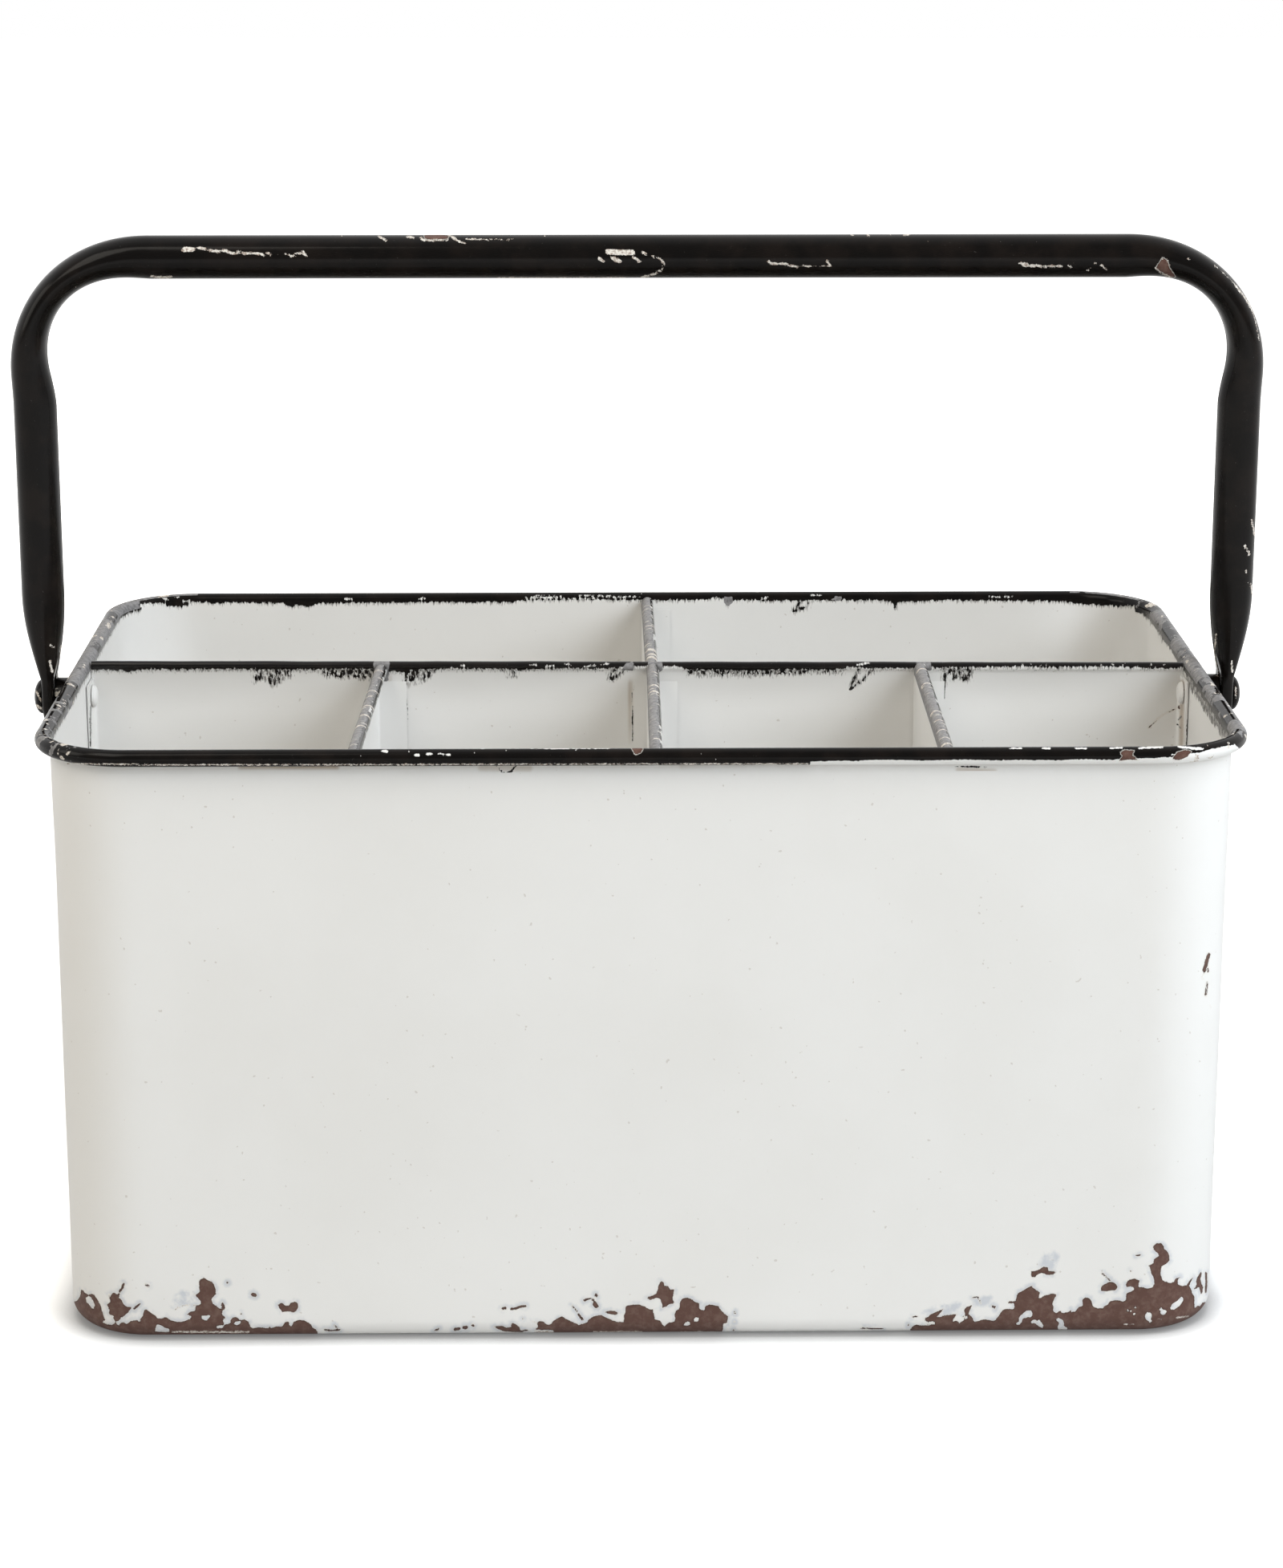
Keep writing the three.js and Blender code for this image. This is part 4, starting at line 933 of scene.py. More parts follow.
class Shade:
    """Node tree of a material or of the world, with short names for the nodes used here."""

    def __init__(self, owner, coordinates='Object'):
        self.owner = owner
        owner.use_nodes = True
        self.tree = owner.node_tree
        self.tree.nodes.clear()
        self.place = self.node('ShaderNodeTexCoord').outputs[coordinates]

    def node(self, kind, inputs=None, **settings):
        made = self.tree.nodes.new(kind)
        for key, value in settings.items():
            setattr(made, key, value)
        for key, value in (inputs or {}).items():
            if isinstance(value, bpy.types.NodeSocket):
                self.tree.links.new(value, made.inputs[key])
            else:
                made.inputs[key].default_value = value
        return made

    def field(self, name):
        return self.node('ShaderNodeAttribute', attribute_name=name).outputs['Fac']

    def noise(self, size, detail=2.0, rough=0.5, stretch=(1, 1, 1)):
        """Noise whose blobs are about size millimetres across, from 0 to 1."""
        scaled = self.node('ShaderNodeMapping', {'Vector': self.place, 'Scale': stretch})
        made = self.node('ShaderNodeTexNoise', {'Vector': scaled.outputs[0], 'Scale': 1 / (size * MM),
                                                'Detail': detail, 'Roughness': rough})
        return made.outputs['Fac']

    def centred(self, size, detail=2.0, rough=0.5, stretch=(1, 1, 1)):
        """The same noise, from -0.5 to 0.5."""
        return self.maths('SUBTRACT', self.noise(size, detail, rough, stretch), 0.5)

    def maths(self, operation, first, second=0.0, third=0.0):
        return self.node('ShaderNodeMath', {0: first, 1: second, 2: third}, operation=operation).outputs[0]

    def plus(self, first, second):
        return self.maths('ADD', first, second)

    def times(self, first, second):
        return self.maths('MULTIPLY', first, second)

    def plus_times(self, base, value, factor):
        return self.maths('MULTIPLY_ADD', value, factor, base)

    def either(self, first, second):
        return self.maths('MAXIMUM', first, second)

    def step(self, value, low, high, start=0.0, end=1.0, kind='SMOOTHSTEP'):
        inputs = {'Value': value, 'From Min': low, 'From Max': high, 'To Min': start, 'To Max': end}
        return self.node('ShaderNodeMapRange', inputs, interpolation_type=kind).outputs[0]

    def choice(self, share, start, end):
        return self.step(share, 0.0, 1.0, start, end, 'LINEAR')

    def mix(self, share, *colours):
        first, second = ((*colour, 1.0) if isinstance(colour, tuple) else colour for colour in colours)
        return self.node('ShaderNodeMix', {0: share, 6: first, 7: second}, data_type='RGBA').outputs[2]

    def finish(self, inputs, height):
        bump = self.node('ShaderNodeBump', {'Height': height, 'Strength': 1.0, 'Distance': MM})
        shader = self.node('ShaderNodeBsdfPrincipled', {**inputs, 'Normal': bump.outputs[0]})
        self.node('ShaderNodeOutputMaterial', {'Surface': shader.outputs[0]})
        return self.owner


WHITE = (0.864, 0.855, 0.836)
WHITE_DIM = (0.840, 0.829, 0.806)
STAIN = (0.56, 0.50, 0.42)
SPECK = (0.42, 0.36, 0.30)
SPECK_DARK = (0.20, 0.15, 0.12)
# Brown of stains in the joints, also of the painted shadow under the rim's bead.
GRIME = (0.50, 0.42, 0.34)
# Blue-grey of the grey flakes, and of the painted shadow round the chips.
HAZE_AND_SHADOW = (0.40, 0.45, 0.54)
BLACK = (0.0048, 0.0040, 0.0036)
BLACK_BROWN = (0.0095, 0.0070, 0.0058)
THIN_BLACK = (0.052, 0.038, 0.028)
DUST = (0.5, 0.48, 0.45)
PRIMER = (0.115, 0.060, 0.047)
PRIMER_PALE = (0.170, 0.103, 0.082)
# Primer just inside a chip's edge: painted shadow of the enamel's edge.
PRIMER_EDGE_SHADE = (0.052, 0.028, 0.022)
CREAM = (0.79, 0.75, 0.69)
CREAM_BROWN = (0.36, 0.28, 0.23)
# Greys of scuffs, and of the painted reflection on the beads that run front to back.
SCUFF_AND_SHEEN_GREY = (0.180, 0.175, 0.178)
SCUFF_AND_SHEEN_PALE = (0.300, 0.293, 0.296)
STEEL_DARK = (0.42, 0.41, 0.39)
STEEL_PALE = (0.62, 0.60, 0.57)
STEEL_STAIN = (0.26, 0.17, 0.11)

# Specular level of the white enamel and of the black.
WHITE_SHINE = 0.35
BLACK_SHINE = 0.13

# Blobs of noise in millimetres.
MOTTLE = 60.0
MOTTLE_FLOOR = 45.0
ORANGE_PEEL = 5.0
RAGGED = 1.1
FINE_RAGGED = 0.35

# Heights in millimetres, for the bump: peel of the enamel, its grain, a coat of black, the depth of a chip.
PEEL = 0.035
GRAIN = 0.004
COAT = 0.03
CHIP_DEPTH = 0.14
PRIMER_GRAIN = 0.05


def white_ground(s, size):
    """Mottled white of the enamel, and the mottle itself."""
    mottle = s.noise(size, 3.0, 0.55)
    return s.mix(s.step(mottle, 0.35, 0.75), WHITE, WHITE_DIM), mottle


def plain_enamel(name, specular):
    """Off-white enamel for the floor of the bin: mottled, with stains and a few dark specks."""
    s = Shade(bpy.data.materials.new(name))
    white, mottle = white_ground(s, MOTTLE_FLOOR)
    stain = s.times(s.step(s.noise(26, 4.0, 0.6), 0.54, 0.72), 0.35)
    specks = s.step(s.noise(1.8, 1.5, 0.5), 0.73, 0.77)
    white = s.mix(s.times(specks, 0.6), s.mix(stain, white, STAIN), SPECK_DARK)
    rough = s.step(mottle, 0.3, 0.7, 0.32, 0.46)
    height = s.plus_times(s.times(s.noise(ORANGE_PEEL), PEEL), specks, -COAT)
    return s.finish({'Base Color': white, 'Roughness': rough, 'Specular IOR Level': specular}, height)


def aged_white(s, mottle, white, ragged):
    """White with specks, dirt and painted shade as the field says, grey flakes, and painted blue-grey shade round
    chips.
    """
    white = s.mix(s.times(s.step(s.noise(1.6, 1.0, 0.4), 0.775, 0.80), 0.35), white, SPECK)
    # Brown where the field says: stains in the joints, and stain with painted shadow under the rim's bead and
    # drips.
    white = s.mix(s.times(s.step(s.field("grime_and_shade"), 0.0, 1.0), s.step(mottle, 0.3, 0.6)), white, GRIME)
    # Blue-grey over the grey flakes, and round the chips a painted shadow of their lifted edges, broken up by
    # noise.
    flake_shadow_edge = s.plus(s.field("flakes_and_shadow"), s.times(ragged, 1.2))
    thin = s.times(s.step(flake_shadow_edge, -1.5, -0.02), s.step(s.noise(5.0, 3.0, 0.6), 0.38, 0.58))
    return s.mix(s.times(thin, 0.5), white, HAZE_AND_SHADOW)


def black_coat(s, ragged, white):
    """White under black enamel, brushed out thin below its edge: the share of black, and the colour."""
    bristle = s.centred(0.8, 3.0, 0.6, stretch=(1, 1, 0.25))
    edge = s.plus_times(s.plus(s.field("black"), s.times(ragged, 0.8)), bristle, s.field("brush"))
    black = s.step(edge, -0.06, 0.06)
    hairs = s.times(s.centred(0.45, stretch=(1, 1, 0.12)), s.times(s.field("brush"), 1.6))
    smear = s.times(s.step(s.plus(edge, hairs), -0.9, 0.4), s.step(s.field("brush"), 0.8, 3.0, 0.0, 0.72))
    dark = s.mix(s.step(s.noise(9, 3.0), 0.4, 0.7), BLACK, BLACK_BROWN)
    dark = s.mix(s.times(s.step(s.noise(0.9, 2.0, 0.6), 0.72, 0.78), 0.06), dark, DUST)
    return black, s.mix(black, s.mix(smear, white, THIN_BLACK), dark)


def enamel(name, specular):
    """Off-white enamel, with black enamel, scuffs, painted sheen and glints, and chips to the primer where the
    paint fields say.
    """
    s = Shade(bpy.data.materials.new(name))
    ragged = s.centred(RAGGED, 4.0, 0.62)
    crumbled = s.plus(ragged, s.centred(FINE_RAGGED))
    ground, mottle = white_ground(s, MOTTLE)
    black, base = black_coat(s, ragged, aged_white(s, mottle, ground, ragged))

    # Grey layer: scuffs, and on the beads that run front to back a painted reflection of the light from above.
    scuff_and_sheen = s.step(s.plus(s.field("scuff_and_sheen"), s.times(ragged, 1.1)), -0.08, 0.08)
    base = s.mix(scuff_and_sheen, base, s.mix(s.step(s.noise(1.3, 3.0, 0.6), 0.35, 0.65), SCUFF_AND_SHEEN_GREY, SCUFF_AND_SHEEN_PALE))
    chip_edge = s.plus(s.field("chip"), s.times(crumbled, 0.45))
    chip = s.step(chip_edge, -0.04, 0.05)
    # Cream just outside a chip is a painted highlight on the enamel's edge, darker primer just inside it painted
    # shadow.
    edge_highlight = s.times(s.step(chip_edge, -0.35, -0.03), s.step(chip_edge, 0.02, -0.03))
    primer = s.mix(s.step(s.noise(2.2, 4.0, 0.65), 0.40, 0.75), PRIMER, PRIMER_PALE)
    primer = s.mix(s.times(s.step(chip_edge, 0.30, 0.05), 0.75), primer, PRIMER_EDGE_SHADE)
    base = s.mix(chip, s.mix(s.times(edge_highlight, 0.7), base, CREAM), primer)
    # Pale layer: scrapes and rubbed enamel, with the painted glints and reflections of the rim's ends and the
    # handle.
    pale = s.step(s.plus(s.field("pale"), s.times(crumbled, 0.9)), -0.05, 0.05)
    base = s.mix(pale, base, s.mix(s.step(s.noise(0.7, 3.0, 0.6), 0.45, 0.65), CREAM, CREAM_BROWN))

    rough = s.plus_times(s.step(mottle, 0.3, 0.7, 0.30, 0.38), black, -0.17)
    rough = s.plus_times(rough, s.either(s.either(chip, scuff_and_sheen), pale), 0.3)
    height = s.plus(s.times(s.noise(ORANGE_PEEL), PEEL), s.times(s.noise(0.8), GRAIN))
    height = s.plus_times(height, black, COAT)
    height = s.plus_times(height, s.step(chip_edge, -0.10, 0.12), -CHIP_DEPTH)
    height = s.plus_times(height, s.times(chip, s.noise(0.6, 3.0, 0.6)), PRIMER_GRAIN)
    height = s.plus_times(height, scuff_and_sheen, -COAT)
    return s.finish({'Base Color': base, 'Roughness': rough, 'Specular IOR Level': specular}, height)


def bare_steel(name):
    """Drawn steel wire with stains."""
    s = Shade(bpy.data.materials.new(name))
    draw = s.noise(0.4, 3.0, 0.6, stretch=(0.2, 0.2, 1.0))
    stain = s.step(s.noise(14, 4.0, 0.6), 0.5, 0.75)
    base = s.mix(s.times(stain, 0.5), s.mix(draw, STEEL_DARK, STEEL_PALE), STEEL_STAIN)
    rough = s.step(draw, 0.3, 0.7, 0.32, 0.48)
    return s.finish({'Base Color': base, 'Metallic': 1.0, 'Roughness': rough}, s.times(draw, 0.01))


# ----------------------------------------------------------------------------------------- light and camera

AMBIENT = 0.150
AMBIENT_COLOUR = (1.0, 0.94, 0.80)
GLOSS_FRONT = 0.3
FLOOR_HALF = 6.0
FLOOR_GLOW = 0.52
FLOOR_TONE = 0.70
FLOOR_SHOWN = 0.95
FLOOR_MIRRORED = 0.20
CONTACT_REACH = 0.016
CONTACT_TONE = 0.30
CLIP = (0.05, 40.0)
COOL = (0.89, 0.945, 1.0)
WARM = (1.0, 0.955, 0.87)
PLAIN_WHITE = (1.0, 1.0, 1.0)
LAMP_AIM = (0.0, 0.0, 0.12)
# Name, place, size, power and colour.
LAMPS = (
    ("key_lamp", (1.2, -1.2, 1.0), 1.0, 19.0, COOL), ("right_lamp", (1.2, -0.3, 1.5), 0.8, 15.5, COOL),
    ("back_lamp", (-0.5, 1.6, 1.2), 1.2, 15.0, WARM), ("left_lamp", (-0.8, -0.9, 1.6), 1.0, 10.8, WARM),
    ("side_lamp", (-1.5, -0.4, 0.8), 0.8, 4.6, WARM))
SHINE_FREE = ("key_lamp", "right_lamp", "back_lamp")


def floor_white():
    """Plain pale floor, seen as the white backdrop apart from a soft contact shadow painted from ambient occlusion.
    """
    s = Shade(bpy.data.materials.new("floor_white"))
    path = s.node('ShaderNodeLightPath').outputs
    seen = s.either(path['Is Camera Ray'], s.either(path['Is Glossy Ray'], path['Is Transmission Ray']))
    # Painted contact shadow: ambient occlusion darkens the floor's tone and glow near the object.
    near = s.node('ShaderNodeAmbientOcclusion', {'Distance': CONTACT_REACH}, samples=16).outputs['AO']
    contact = s.step(near, 0.42, 0.93, CONTACT_TONE, 1.0, 'LINEAR')
    away = s.node('ShaderNodeVectorMath', {0: s.place}, operation='LENGTH').outputs['Value']
    glow = s.times(s.times(seen, contact), s.step(away, 0.45, 1.1, FLOOR_GLOW, 1.0))
    tone = s.choice(seen, FLOOR_TONE, s.times(contact, FLOOR_SHOWN))
    tone = s.choice(path['Is Glossy Ray'], tone, FLOOR_MIRRORED)
    diffuse = s.node('ShaderNodeBsdfDiffuse', {'Color': tone})
    light = s.node('ShaderNodeEmission', {'Color': (*PLAIN_WHITE, 1.0), 'Strength': glow})
    both = s.node('ShaderNodeAddShader', {0: diffuse.outputs[0], 1: light.outputs[0]})
    s.node('ShaderNodeOutputMaterial', {'Surface': both.outputs[0]})
    return s.owner


def make_camera():
    data = bpy.data.cameras.new("photo_camera")
    data.sensor_width = SENSOR
    data.lens = SENSOR * FOCAL_PIXELS / PHOTO_HEIGHT
    data.clip_start, data.clip_end = CLIP
    camera = added("photo_camera", data)
    camera.location = CAMERA_AT
    camera.rotation_euler = (math.pi / 2 - CAMERA_PITCH, 0.0, -CAMERA_PAN)
    bpy.context.scene.camera = camera


def make_lamp(name, at, size, power, colour):
    """Square lamp aimed at the bin. Some lamps light without being mirrored in the enamel."""
    data = bpy.data.lights.new(name, 'AREA')
    data.shape, data.size, data.energy, data.color = 'SQUARE', size, power, colour
    data.specular_factor = 0.0 if name in SHINE_FREE else 1.0
    lamp = added(name, data)
    lamp.location = at
    lamp.visible_glossy = name not in SHINE_FREE
    lamp.rotation_euler = (Vector(LAMP_AIM) - Vector(at)).to_track_quat('-Z', 'Y').to_euler()


def make_world():
    """Even soft light. The camera sees it white, and gloss sees it white behind and dimmer towards the front."""
    world = bpy.data.worlds.new("studio")
    bpy.context.scene.world = world
    s = Shade(world, 'Generated')
    path = s.node('ShaderNodeLightPath').outputs
    way = s.node('ShaderNodeSeparateXYZ', {0: s.place}).outputs
    mirrored = s.step(way['Y'], -0.5, 0.2, GLOSS_FRONT, 1.0, 'LINEAR')
    strength = s.choice(path['Is Glossy Ray'], AMBIENT, mirrored)
    strength = s.choice(path['Is Camera Ray'], strength, 1.0)
    strength = s.choice(path['Is Transmission Ray'], strength, 1.0)
    tint = s.mix(path['Is Diffuse Ray'], PLAIN_WHITE, AMBIENT_COLOUR)
    glow = s.node('ShaderNodeBackground', {'Color': tint, 'Strength': strength})
    s.node('ShaderNodeOutputWorld', {'Surface': glow.outputs[0]})


def make_floor():
    half = FLOOR_HALF
    mesh = bpy.data.meshes.new("floor")
    mesh.from_pydata([(-half, -half, 0), (half, -half, 0), (half, half, 0), (-half, half, 0)], [], [(0, 1, 2, 3)])
    mesh.materials.append(floor_white())
    added("floor", mesh)


# ---------------------------------------------------------------------------------- paint fields on the meshes

# Pixels to a millimetre on what stands at the front, in the middle and at the back of the bin.
SCALE_FRONT, SCALE_MIDDLE, SCALE_BACK = 4.30, 3.93, 3.61
# Depth of a field where a layer is far from showing, and where it is only just short of it.
FAR, SHALLOW = 9.0, -4.0
# How near a face counts as on it.
SKIN = 0.05
# Height of the tallest chips of the foot, and drop below the rim's middle at which its black ends outside.
CHIPPED_BELOW, WHITE_BELOW = 34.0, 2.2
# Chipped foot where it isn't traced: its height without waves, how far they lift it, their least value, and the
# rise, size, seed and octaves of the crumbs on its edge.
FOOT_BASE, FOOT_GAIN, WAVES_LEAST = 1.5, 9.0, -0.15
FOOT_CRUMBS = ((5.0, 12.0, 32, 3), (2.2, 3.6, 33, 2))
# Black inside the rim: how far below the bead's middle it ends, and how much that edge wanders.
INSIDE_DROP, INSIDE_WANDER = 0.5, 0.5
# Beyond this X it has a thin fringe, deeper in front, with a solid line through it.
RIGHT_END = 100
FRINGE_DROP, FRINGE_FRONT, FRINGE_WANDER = 1.0, 3.2, 1.8
LINE_DROP, LINE_WANDER, LINE_HALF = 0.6, 0.5, 0.7
# Columns of the photograph between which the back of the rim is traced, and how ragged those two ends are.
SEEN_BACK_RIM, BACK_RAGGED = (180, 1440), 16
# Insets up to which the rim counts as its traced front, and from which it counts as its inside.
FRONT_TO, INNER_FROM = 0.2, -1.2
# Beyond this X the rim's ends have their own wear and painted reflection, and its front corners beyond and in front
# of these.
RIM_ENDS, LEFT_CORNER, RIGHT_CORNER = 150.0, (-164, -22), (150.0, -72)
# Heights over the bead's middle from which the ends turn grey with wear and painted reflection, carry painted
# glints and have a worn left corner with painted glints, and up to which the front has its stain and painted
# shadow.
ENDS_FROM, GLINTS_FROM, CORNER_FROM, STAIN_AND_SHADOW_TO = -0.2, 0.9, -1.6, -2.4
# Long divider: X up to which its front is traced, and elsewhere the drop and the wander of its black's edge.
LONG_TRACED, LONG_DROP, LONG_WANDER = 160, 0.8, 0.9
# Cross dividers: how far over the middle of their rolled edge its black begins, and how much that wanders.
CROSS_RISE, CROSS_WANDER = 0.5, 0.7
# What the camera sees of the handle: all in front of this Y and down to this far below its pivot.
SEEN_BEFORE, SEEN_BELOW_PIVOT = 3.0, 12
STAIN_AND_SHADE_REACH = 2.0
# How far a brush drew the black's edge out, in millimetres: on the rim's inside, at its back, on the dividers.
BRUSH_INSIDE, BRUSH_BACK, BRUSH_DIVIDER, BRUSH_ELSEWHERE = 3.6, 2.6, 2.0, 0.5


def blank(points, black=-FAR):
    """Paint fields in millimetres, positive where a layer shows: all enamel, white or black, and no wear."""
    starts = {"chip": -FAR, "flakes_and_shadow": -FAR, "scuff_and_sheen": -FAR, "pale": -FAR, "black": black, "grime_and_shade": 0.0,
              "brush": BRUSH_ELSEWHERE}
    return {key: np.full(len(points), start) for key, start in starts.items()}


def raised(field, where, values):
    field[where] = np.maximum(field[where], values)


def lowered(field, where, values):
    field[where] = np.minimum(field[where], values)


def patches(points, size, seed, octaves, above, steep, stretch=(1.0, 1.0, 1.0)):
    """Seeded patches of wear, positive where the waves rise above a level."""
    return steep * (waves(points * np.array(stretch), size, seed, octaves) - above)


def seen_from_front(outward):
    """1 on faces of the bin that the camera sees from outside, 0 past its silhouette."""
    return np.where(outward[:, 1] < 0, 1 - smooth(0.955, 0.99, np.abs(outward[:, 0])), 0.0)


def ragged_foot(points):
    """Chipped enamel along the foot of the sides that the photograph doesn't show."""
    height = FOOT_BASE + FOOT_GAIN * np.clip(waves(points, 48.0, 31, 2), WAVES_LEAST, 1)
    for rise, size, seed, octaves in FOOT_CRUMBS:
        height += rise * waves(points, size, seed, octaves)
    return np.clip(0.5 * (height - points[:, 2]), SHALLOW, 3)


def wall_fields(points):
    """Traced chips along the front of the foot, seeded ones round the rest, and the scratch on the right."""
    fields = blank(points)
    inset, outward = outline_place(points)
    z = points[:, 2]
    bend = (z < FOOT_RADIUS) & (inset > 0) & (np.hypot(inset - FOOT_RADIUS, z - FOOT_RADIUS) > FOOT_RADIUS - GAP)
    outer = (inset < SHEET / 2) | bend | (z < SHEET / 2)
    low = np.flatnonzero(outer & (z < CHIPPED_BELOW))
    seen = seen_from_front(outward[low])
    pixels = photo_pixels(points[low])
    traced = np.minimum(marked(pixels, SCALE_FRONT, FOOT_CHIPS), -marked(pixels, SCALE_FRONT, FOOT_ISLANDS))
    fields["chip"][low] = traced * seen + ragged_foot(points[low]) * (1 - seen)
    flakes = np.where(seen > 0.5, marked(pixels, SCALE_FRONT, FOOT_FLAKES), -FAR)
    # Over the flakes this field gives their grey; round the chips it gives the enamel a painted blue-grey shadow.
    fields["flakes_and_shadow"][low] = np.maximum(fields["chip"][low], flakes)
    fields["pale"][low] = np.where(seen > 0.5, marked(pixels, SCALE_FRONT, FOOT_RUBS) - 0.1, SHALLOW)
    front = np.flatnonzero(outer & (seen_from_front(outward) > 0.5))
    raised(fields["chip"], front, marked(photo_pixels(points[front]), SCALE_FRONT, WALL_SCRATCHES))
    return fields


def roll_black(points, inset, pixels, front, back, inner, under):
    """Where the rolled rim is black: its bead, less what is worn off, and fringes down its inside."""
    z = points[:, 2]
    edge = RIM_Z - INSIDE_DROP + INSIDE_WANDER * waves(points, 13.0, 11)
    black = np.where(inset < -SKIN, 4.0, z - edge)
    black = np.where(under, z - RIM_Z + WHITE_BELOW, black)
    black[back] = below_line(pixels[back], BACK_RIM_EDGE, SCALE_BACK)
    raised(black, back, marked(pixels[back], SCALE_BACK, BACK_RIM_DRIPS))
    lowered(black, back, -marked(pixels[back], SCALE_BACK, BACK_RIM_FLECKS))
    lowered(black, front, -marked(pixels[front], SCALE_FRONT, FRONT_RIM_WORN))
    raised(black, front, marked(pixels[front], SCALE_FRONT, FRONT_RIM_DRIP))
    rest = ~front & ~back & (inset < -SKIN)
    lowered(black, rest, -patches(points[rest], size=5.0, seed=13, octaves=3, above=0.66, steep=4))
    right = (points[:, 0] > RIGHT_END) & inner
    face, height, level = points[right], z[right], inset[right]
    fringe = height - RIM_Z + FRINGE_DROP + FRINGE_FRONT * smooth(40, -40, face[:, 1])
    fringe += FRINGE_WANDER * waves(face, 6.0, 12)
    raised(black, right, np.where(level > -SKIN, np.clip(fringe, -FAR, 0.05), -FAR))
    line = np.abs(height - RIM_Z + LINE_DROP + LINE_WANDER * waves(face, 9.0, 19)) < LINE_HALF
    raised(black, right, np.where(line & (level > -0.3), 0.6, -FAR))
    return black


def roll_fields(points):
    """Traced wear on the rim's front and on what shows of its back; seeded wear, painted sheen and glints on its
    ends.
    """
    fields = blank(points)
    inset, outward = outline_place(points)
    x, y, z = points.T
    pixels = photo_pixels(points)
    under = (z < RIM_Z - WHITE_BELOW) & (inset > -SKIN) & (inset < SHEET / 2)
    front = (seen_from_front(outward) > 0.5) & (inset < FRONT_TO)
    shifted = pixels[:, 0] + BACK_RAGGED * waves(points, 5.0, 10, 2)
    back = (outward[:, 1] > 0.5) & (inset > -SHEET) & ~under
    back &= (shifted > SEEN_BACK_RIM[0]) & (shifted < SEEN_BACK_RIM[1])
    inner = (inset > INNER_FROM) & ~under & ~back
    fields["black"] = roll_black(points, inset, pixels, front, back, inner, under)
    fields["brush"] = np.where(inner, BRUSH_INSIDE, np.where(back, BRUSH_BACK, BRUSH_ELSEWHERE))
    fields["chip"][front] = marked(pixels[front], SCALE_FRONT, FRONT_RIM_CHIPS)
    fields["pale"][front] = marked(pixels[front], SCALE_FRONT, FRONT_RIM_LIP) - 0.05
    fields["scuff_and_sheen"][front] = marked(pixels[front], SCALE_FRONT, FRONT_RIM_SCUFFS)
    fields["scuff_and_sheen"][back] = marked(pixels[back], SCALE_BACK, BACK_RIM_SCUFFS)
    bead = inner | (~front & ~back & (inset < -SKIN))
    sides = bead & (z > RIM_Z + ENDS_FROM) & (np.abs(x) > RIM_ENDS) & ~front
    worn_left = 0.7 * smooth(-86, -60, y[sides]) - 0.55 * smooth(-100, 100, x[sides])
    # The grey on the rim's ends is partly wear and partly a painted reflection of the light from above.
    fields["scuff_and_sheen"][sides] = 1.8 * waves(points[sides], 11.0, 14, 3) + worn_left
    # These glints are painted highlights, laid in the pale layer.
    glints = patches(points[sides], size=3.4, seed=20, octaves=4, above=0.55, steep=2.2, stretch=(1.0, 0.6, 1.0))
    fields["pale"][sides] = np.where(z[sides] > RIM_Z + GLINTS_FROM, glints, -FAR)
    # The left corner's pale patches are wear with painted glints among them.
    corner = np.flatnonzero((x < LEFT_CORNER[0]) & (y < LEFT_CORNER[1]) & (z > RIM_Z + CORNER_FROM) & ~under)
    fields["pale"][corner] = patches(points[corner], size=2.6, seed=15, octaves=4, above=0.50, steep=2.2)
    fields["scuff_and_sheen"][corner] = patches(points[corner], size=6.0, seed=16, octaves=4, above=0.22, steep=1.6)
    corner = np.flatnonzero((x > RIGHT_CORNER[0]) & (y < RIGHT_CORNER[1]) & (inset < 0.5) & ~under)
    fields["pale"][corner] = patches(points[corner], size=3.0, seed=17, octaves=4, above=0.50, steep=2.0)
    # Brown band under the bead and its drips: stain with painted shadow.
    stains = marked(pixels[front], SCALE_FRONT, FRONT_RIM_STAIN_AND_SHADOW, STAIN_AND_SHADE_REACH)
    fields["grime_and_shade"][front] = smooth(-1.2, 0.6, stains) * (z[front] < RIM_Z + STAIN_AND_SHADOW_TO)
    return fields


def long_divider_fields(points):
    """Black along the pressed edge, traced where the camera sees its front, with smears and dirt below it."""
    fields = blank(points)
    z = points[:, 2]
    black = z - LONG_HEM_Z + LONG_DROP + LONG_WANDER * waves(points, 11.0, 21)
    seen = np.flatnonzero((z > FINE_FROM) & (points[:, 1] < LONG_FRONT + SKIN))
    pixels = photo_pixels(points)[seen]
    above = below_line(pixels, LONG_HEM_EDGE, SCALE_MIDDLE)
    above = np.maximum(above, marked(pixels, SCALE_MIDDLE, LONG_HEM_STROKES))
    above = np.where(np.abs(points[seen, 0]) < LONG_TRACED, above, black[seen])
    smears = marked(pixels, SCALE_MIDDLE, LONG_HEM_SMEARS)
    above = np.maximum(above, np.clip(smears - 0.25, -FAR, -SKIN))
    black[seen] = np.minimum(above, -marked(pixels, SCALE_MIDDLE, LONG_HEM_FLECKS))
    # Black lines at the flanges' free edges: painted shadow of the gaps between flanges and wall.
    raised(black, seen, marked(pixels, SCALE_MIDDLE, INSIDE_SHADOW_LINES) + 0.05)
    fields["black"] = black
    fields["brush"][:] = 0.3 + 2.3 * smooth(RIM_Z - 9, RIM_Z - 5, z)
    fields["brush"][seen] += 0.4 * smooth(-0.8, 0.0, smears)
    fields["scuff_and_sheen"][seen] = marked(pixels, SCALE_MIDDLE, LONG_HEM_SCUFFS)
    fields["chip"][seen] = marked(pixels, SCALE_MIDDLE, INSIDE_SCRATCHES)
    fields["grime_and_shade"][seen] = smooth(-1.0, 0.6, marked(pixels, SCALE_MIDDLE, LONG_HEM_GRIME, STAIN_AND_SHADE_REACH))
    return fields


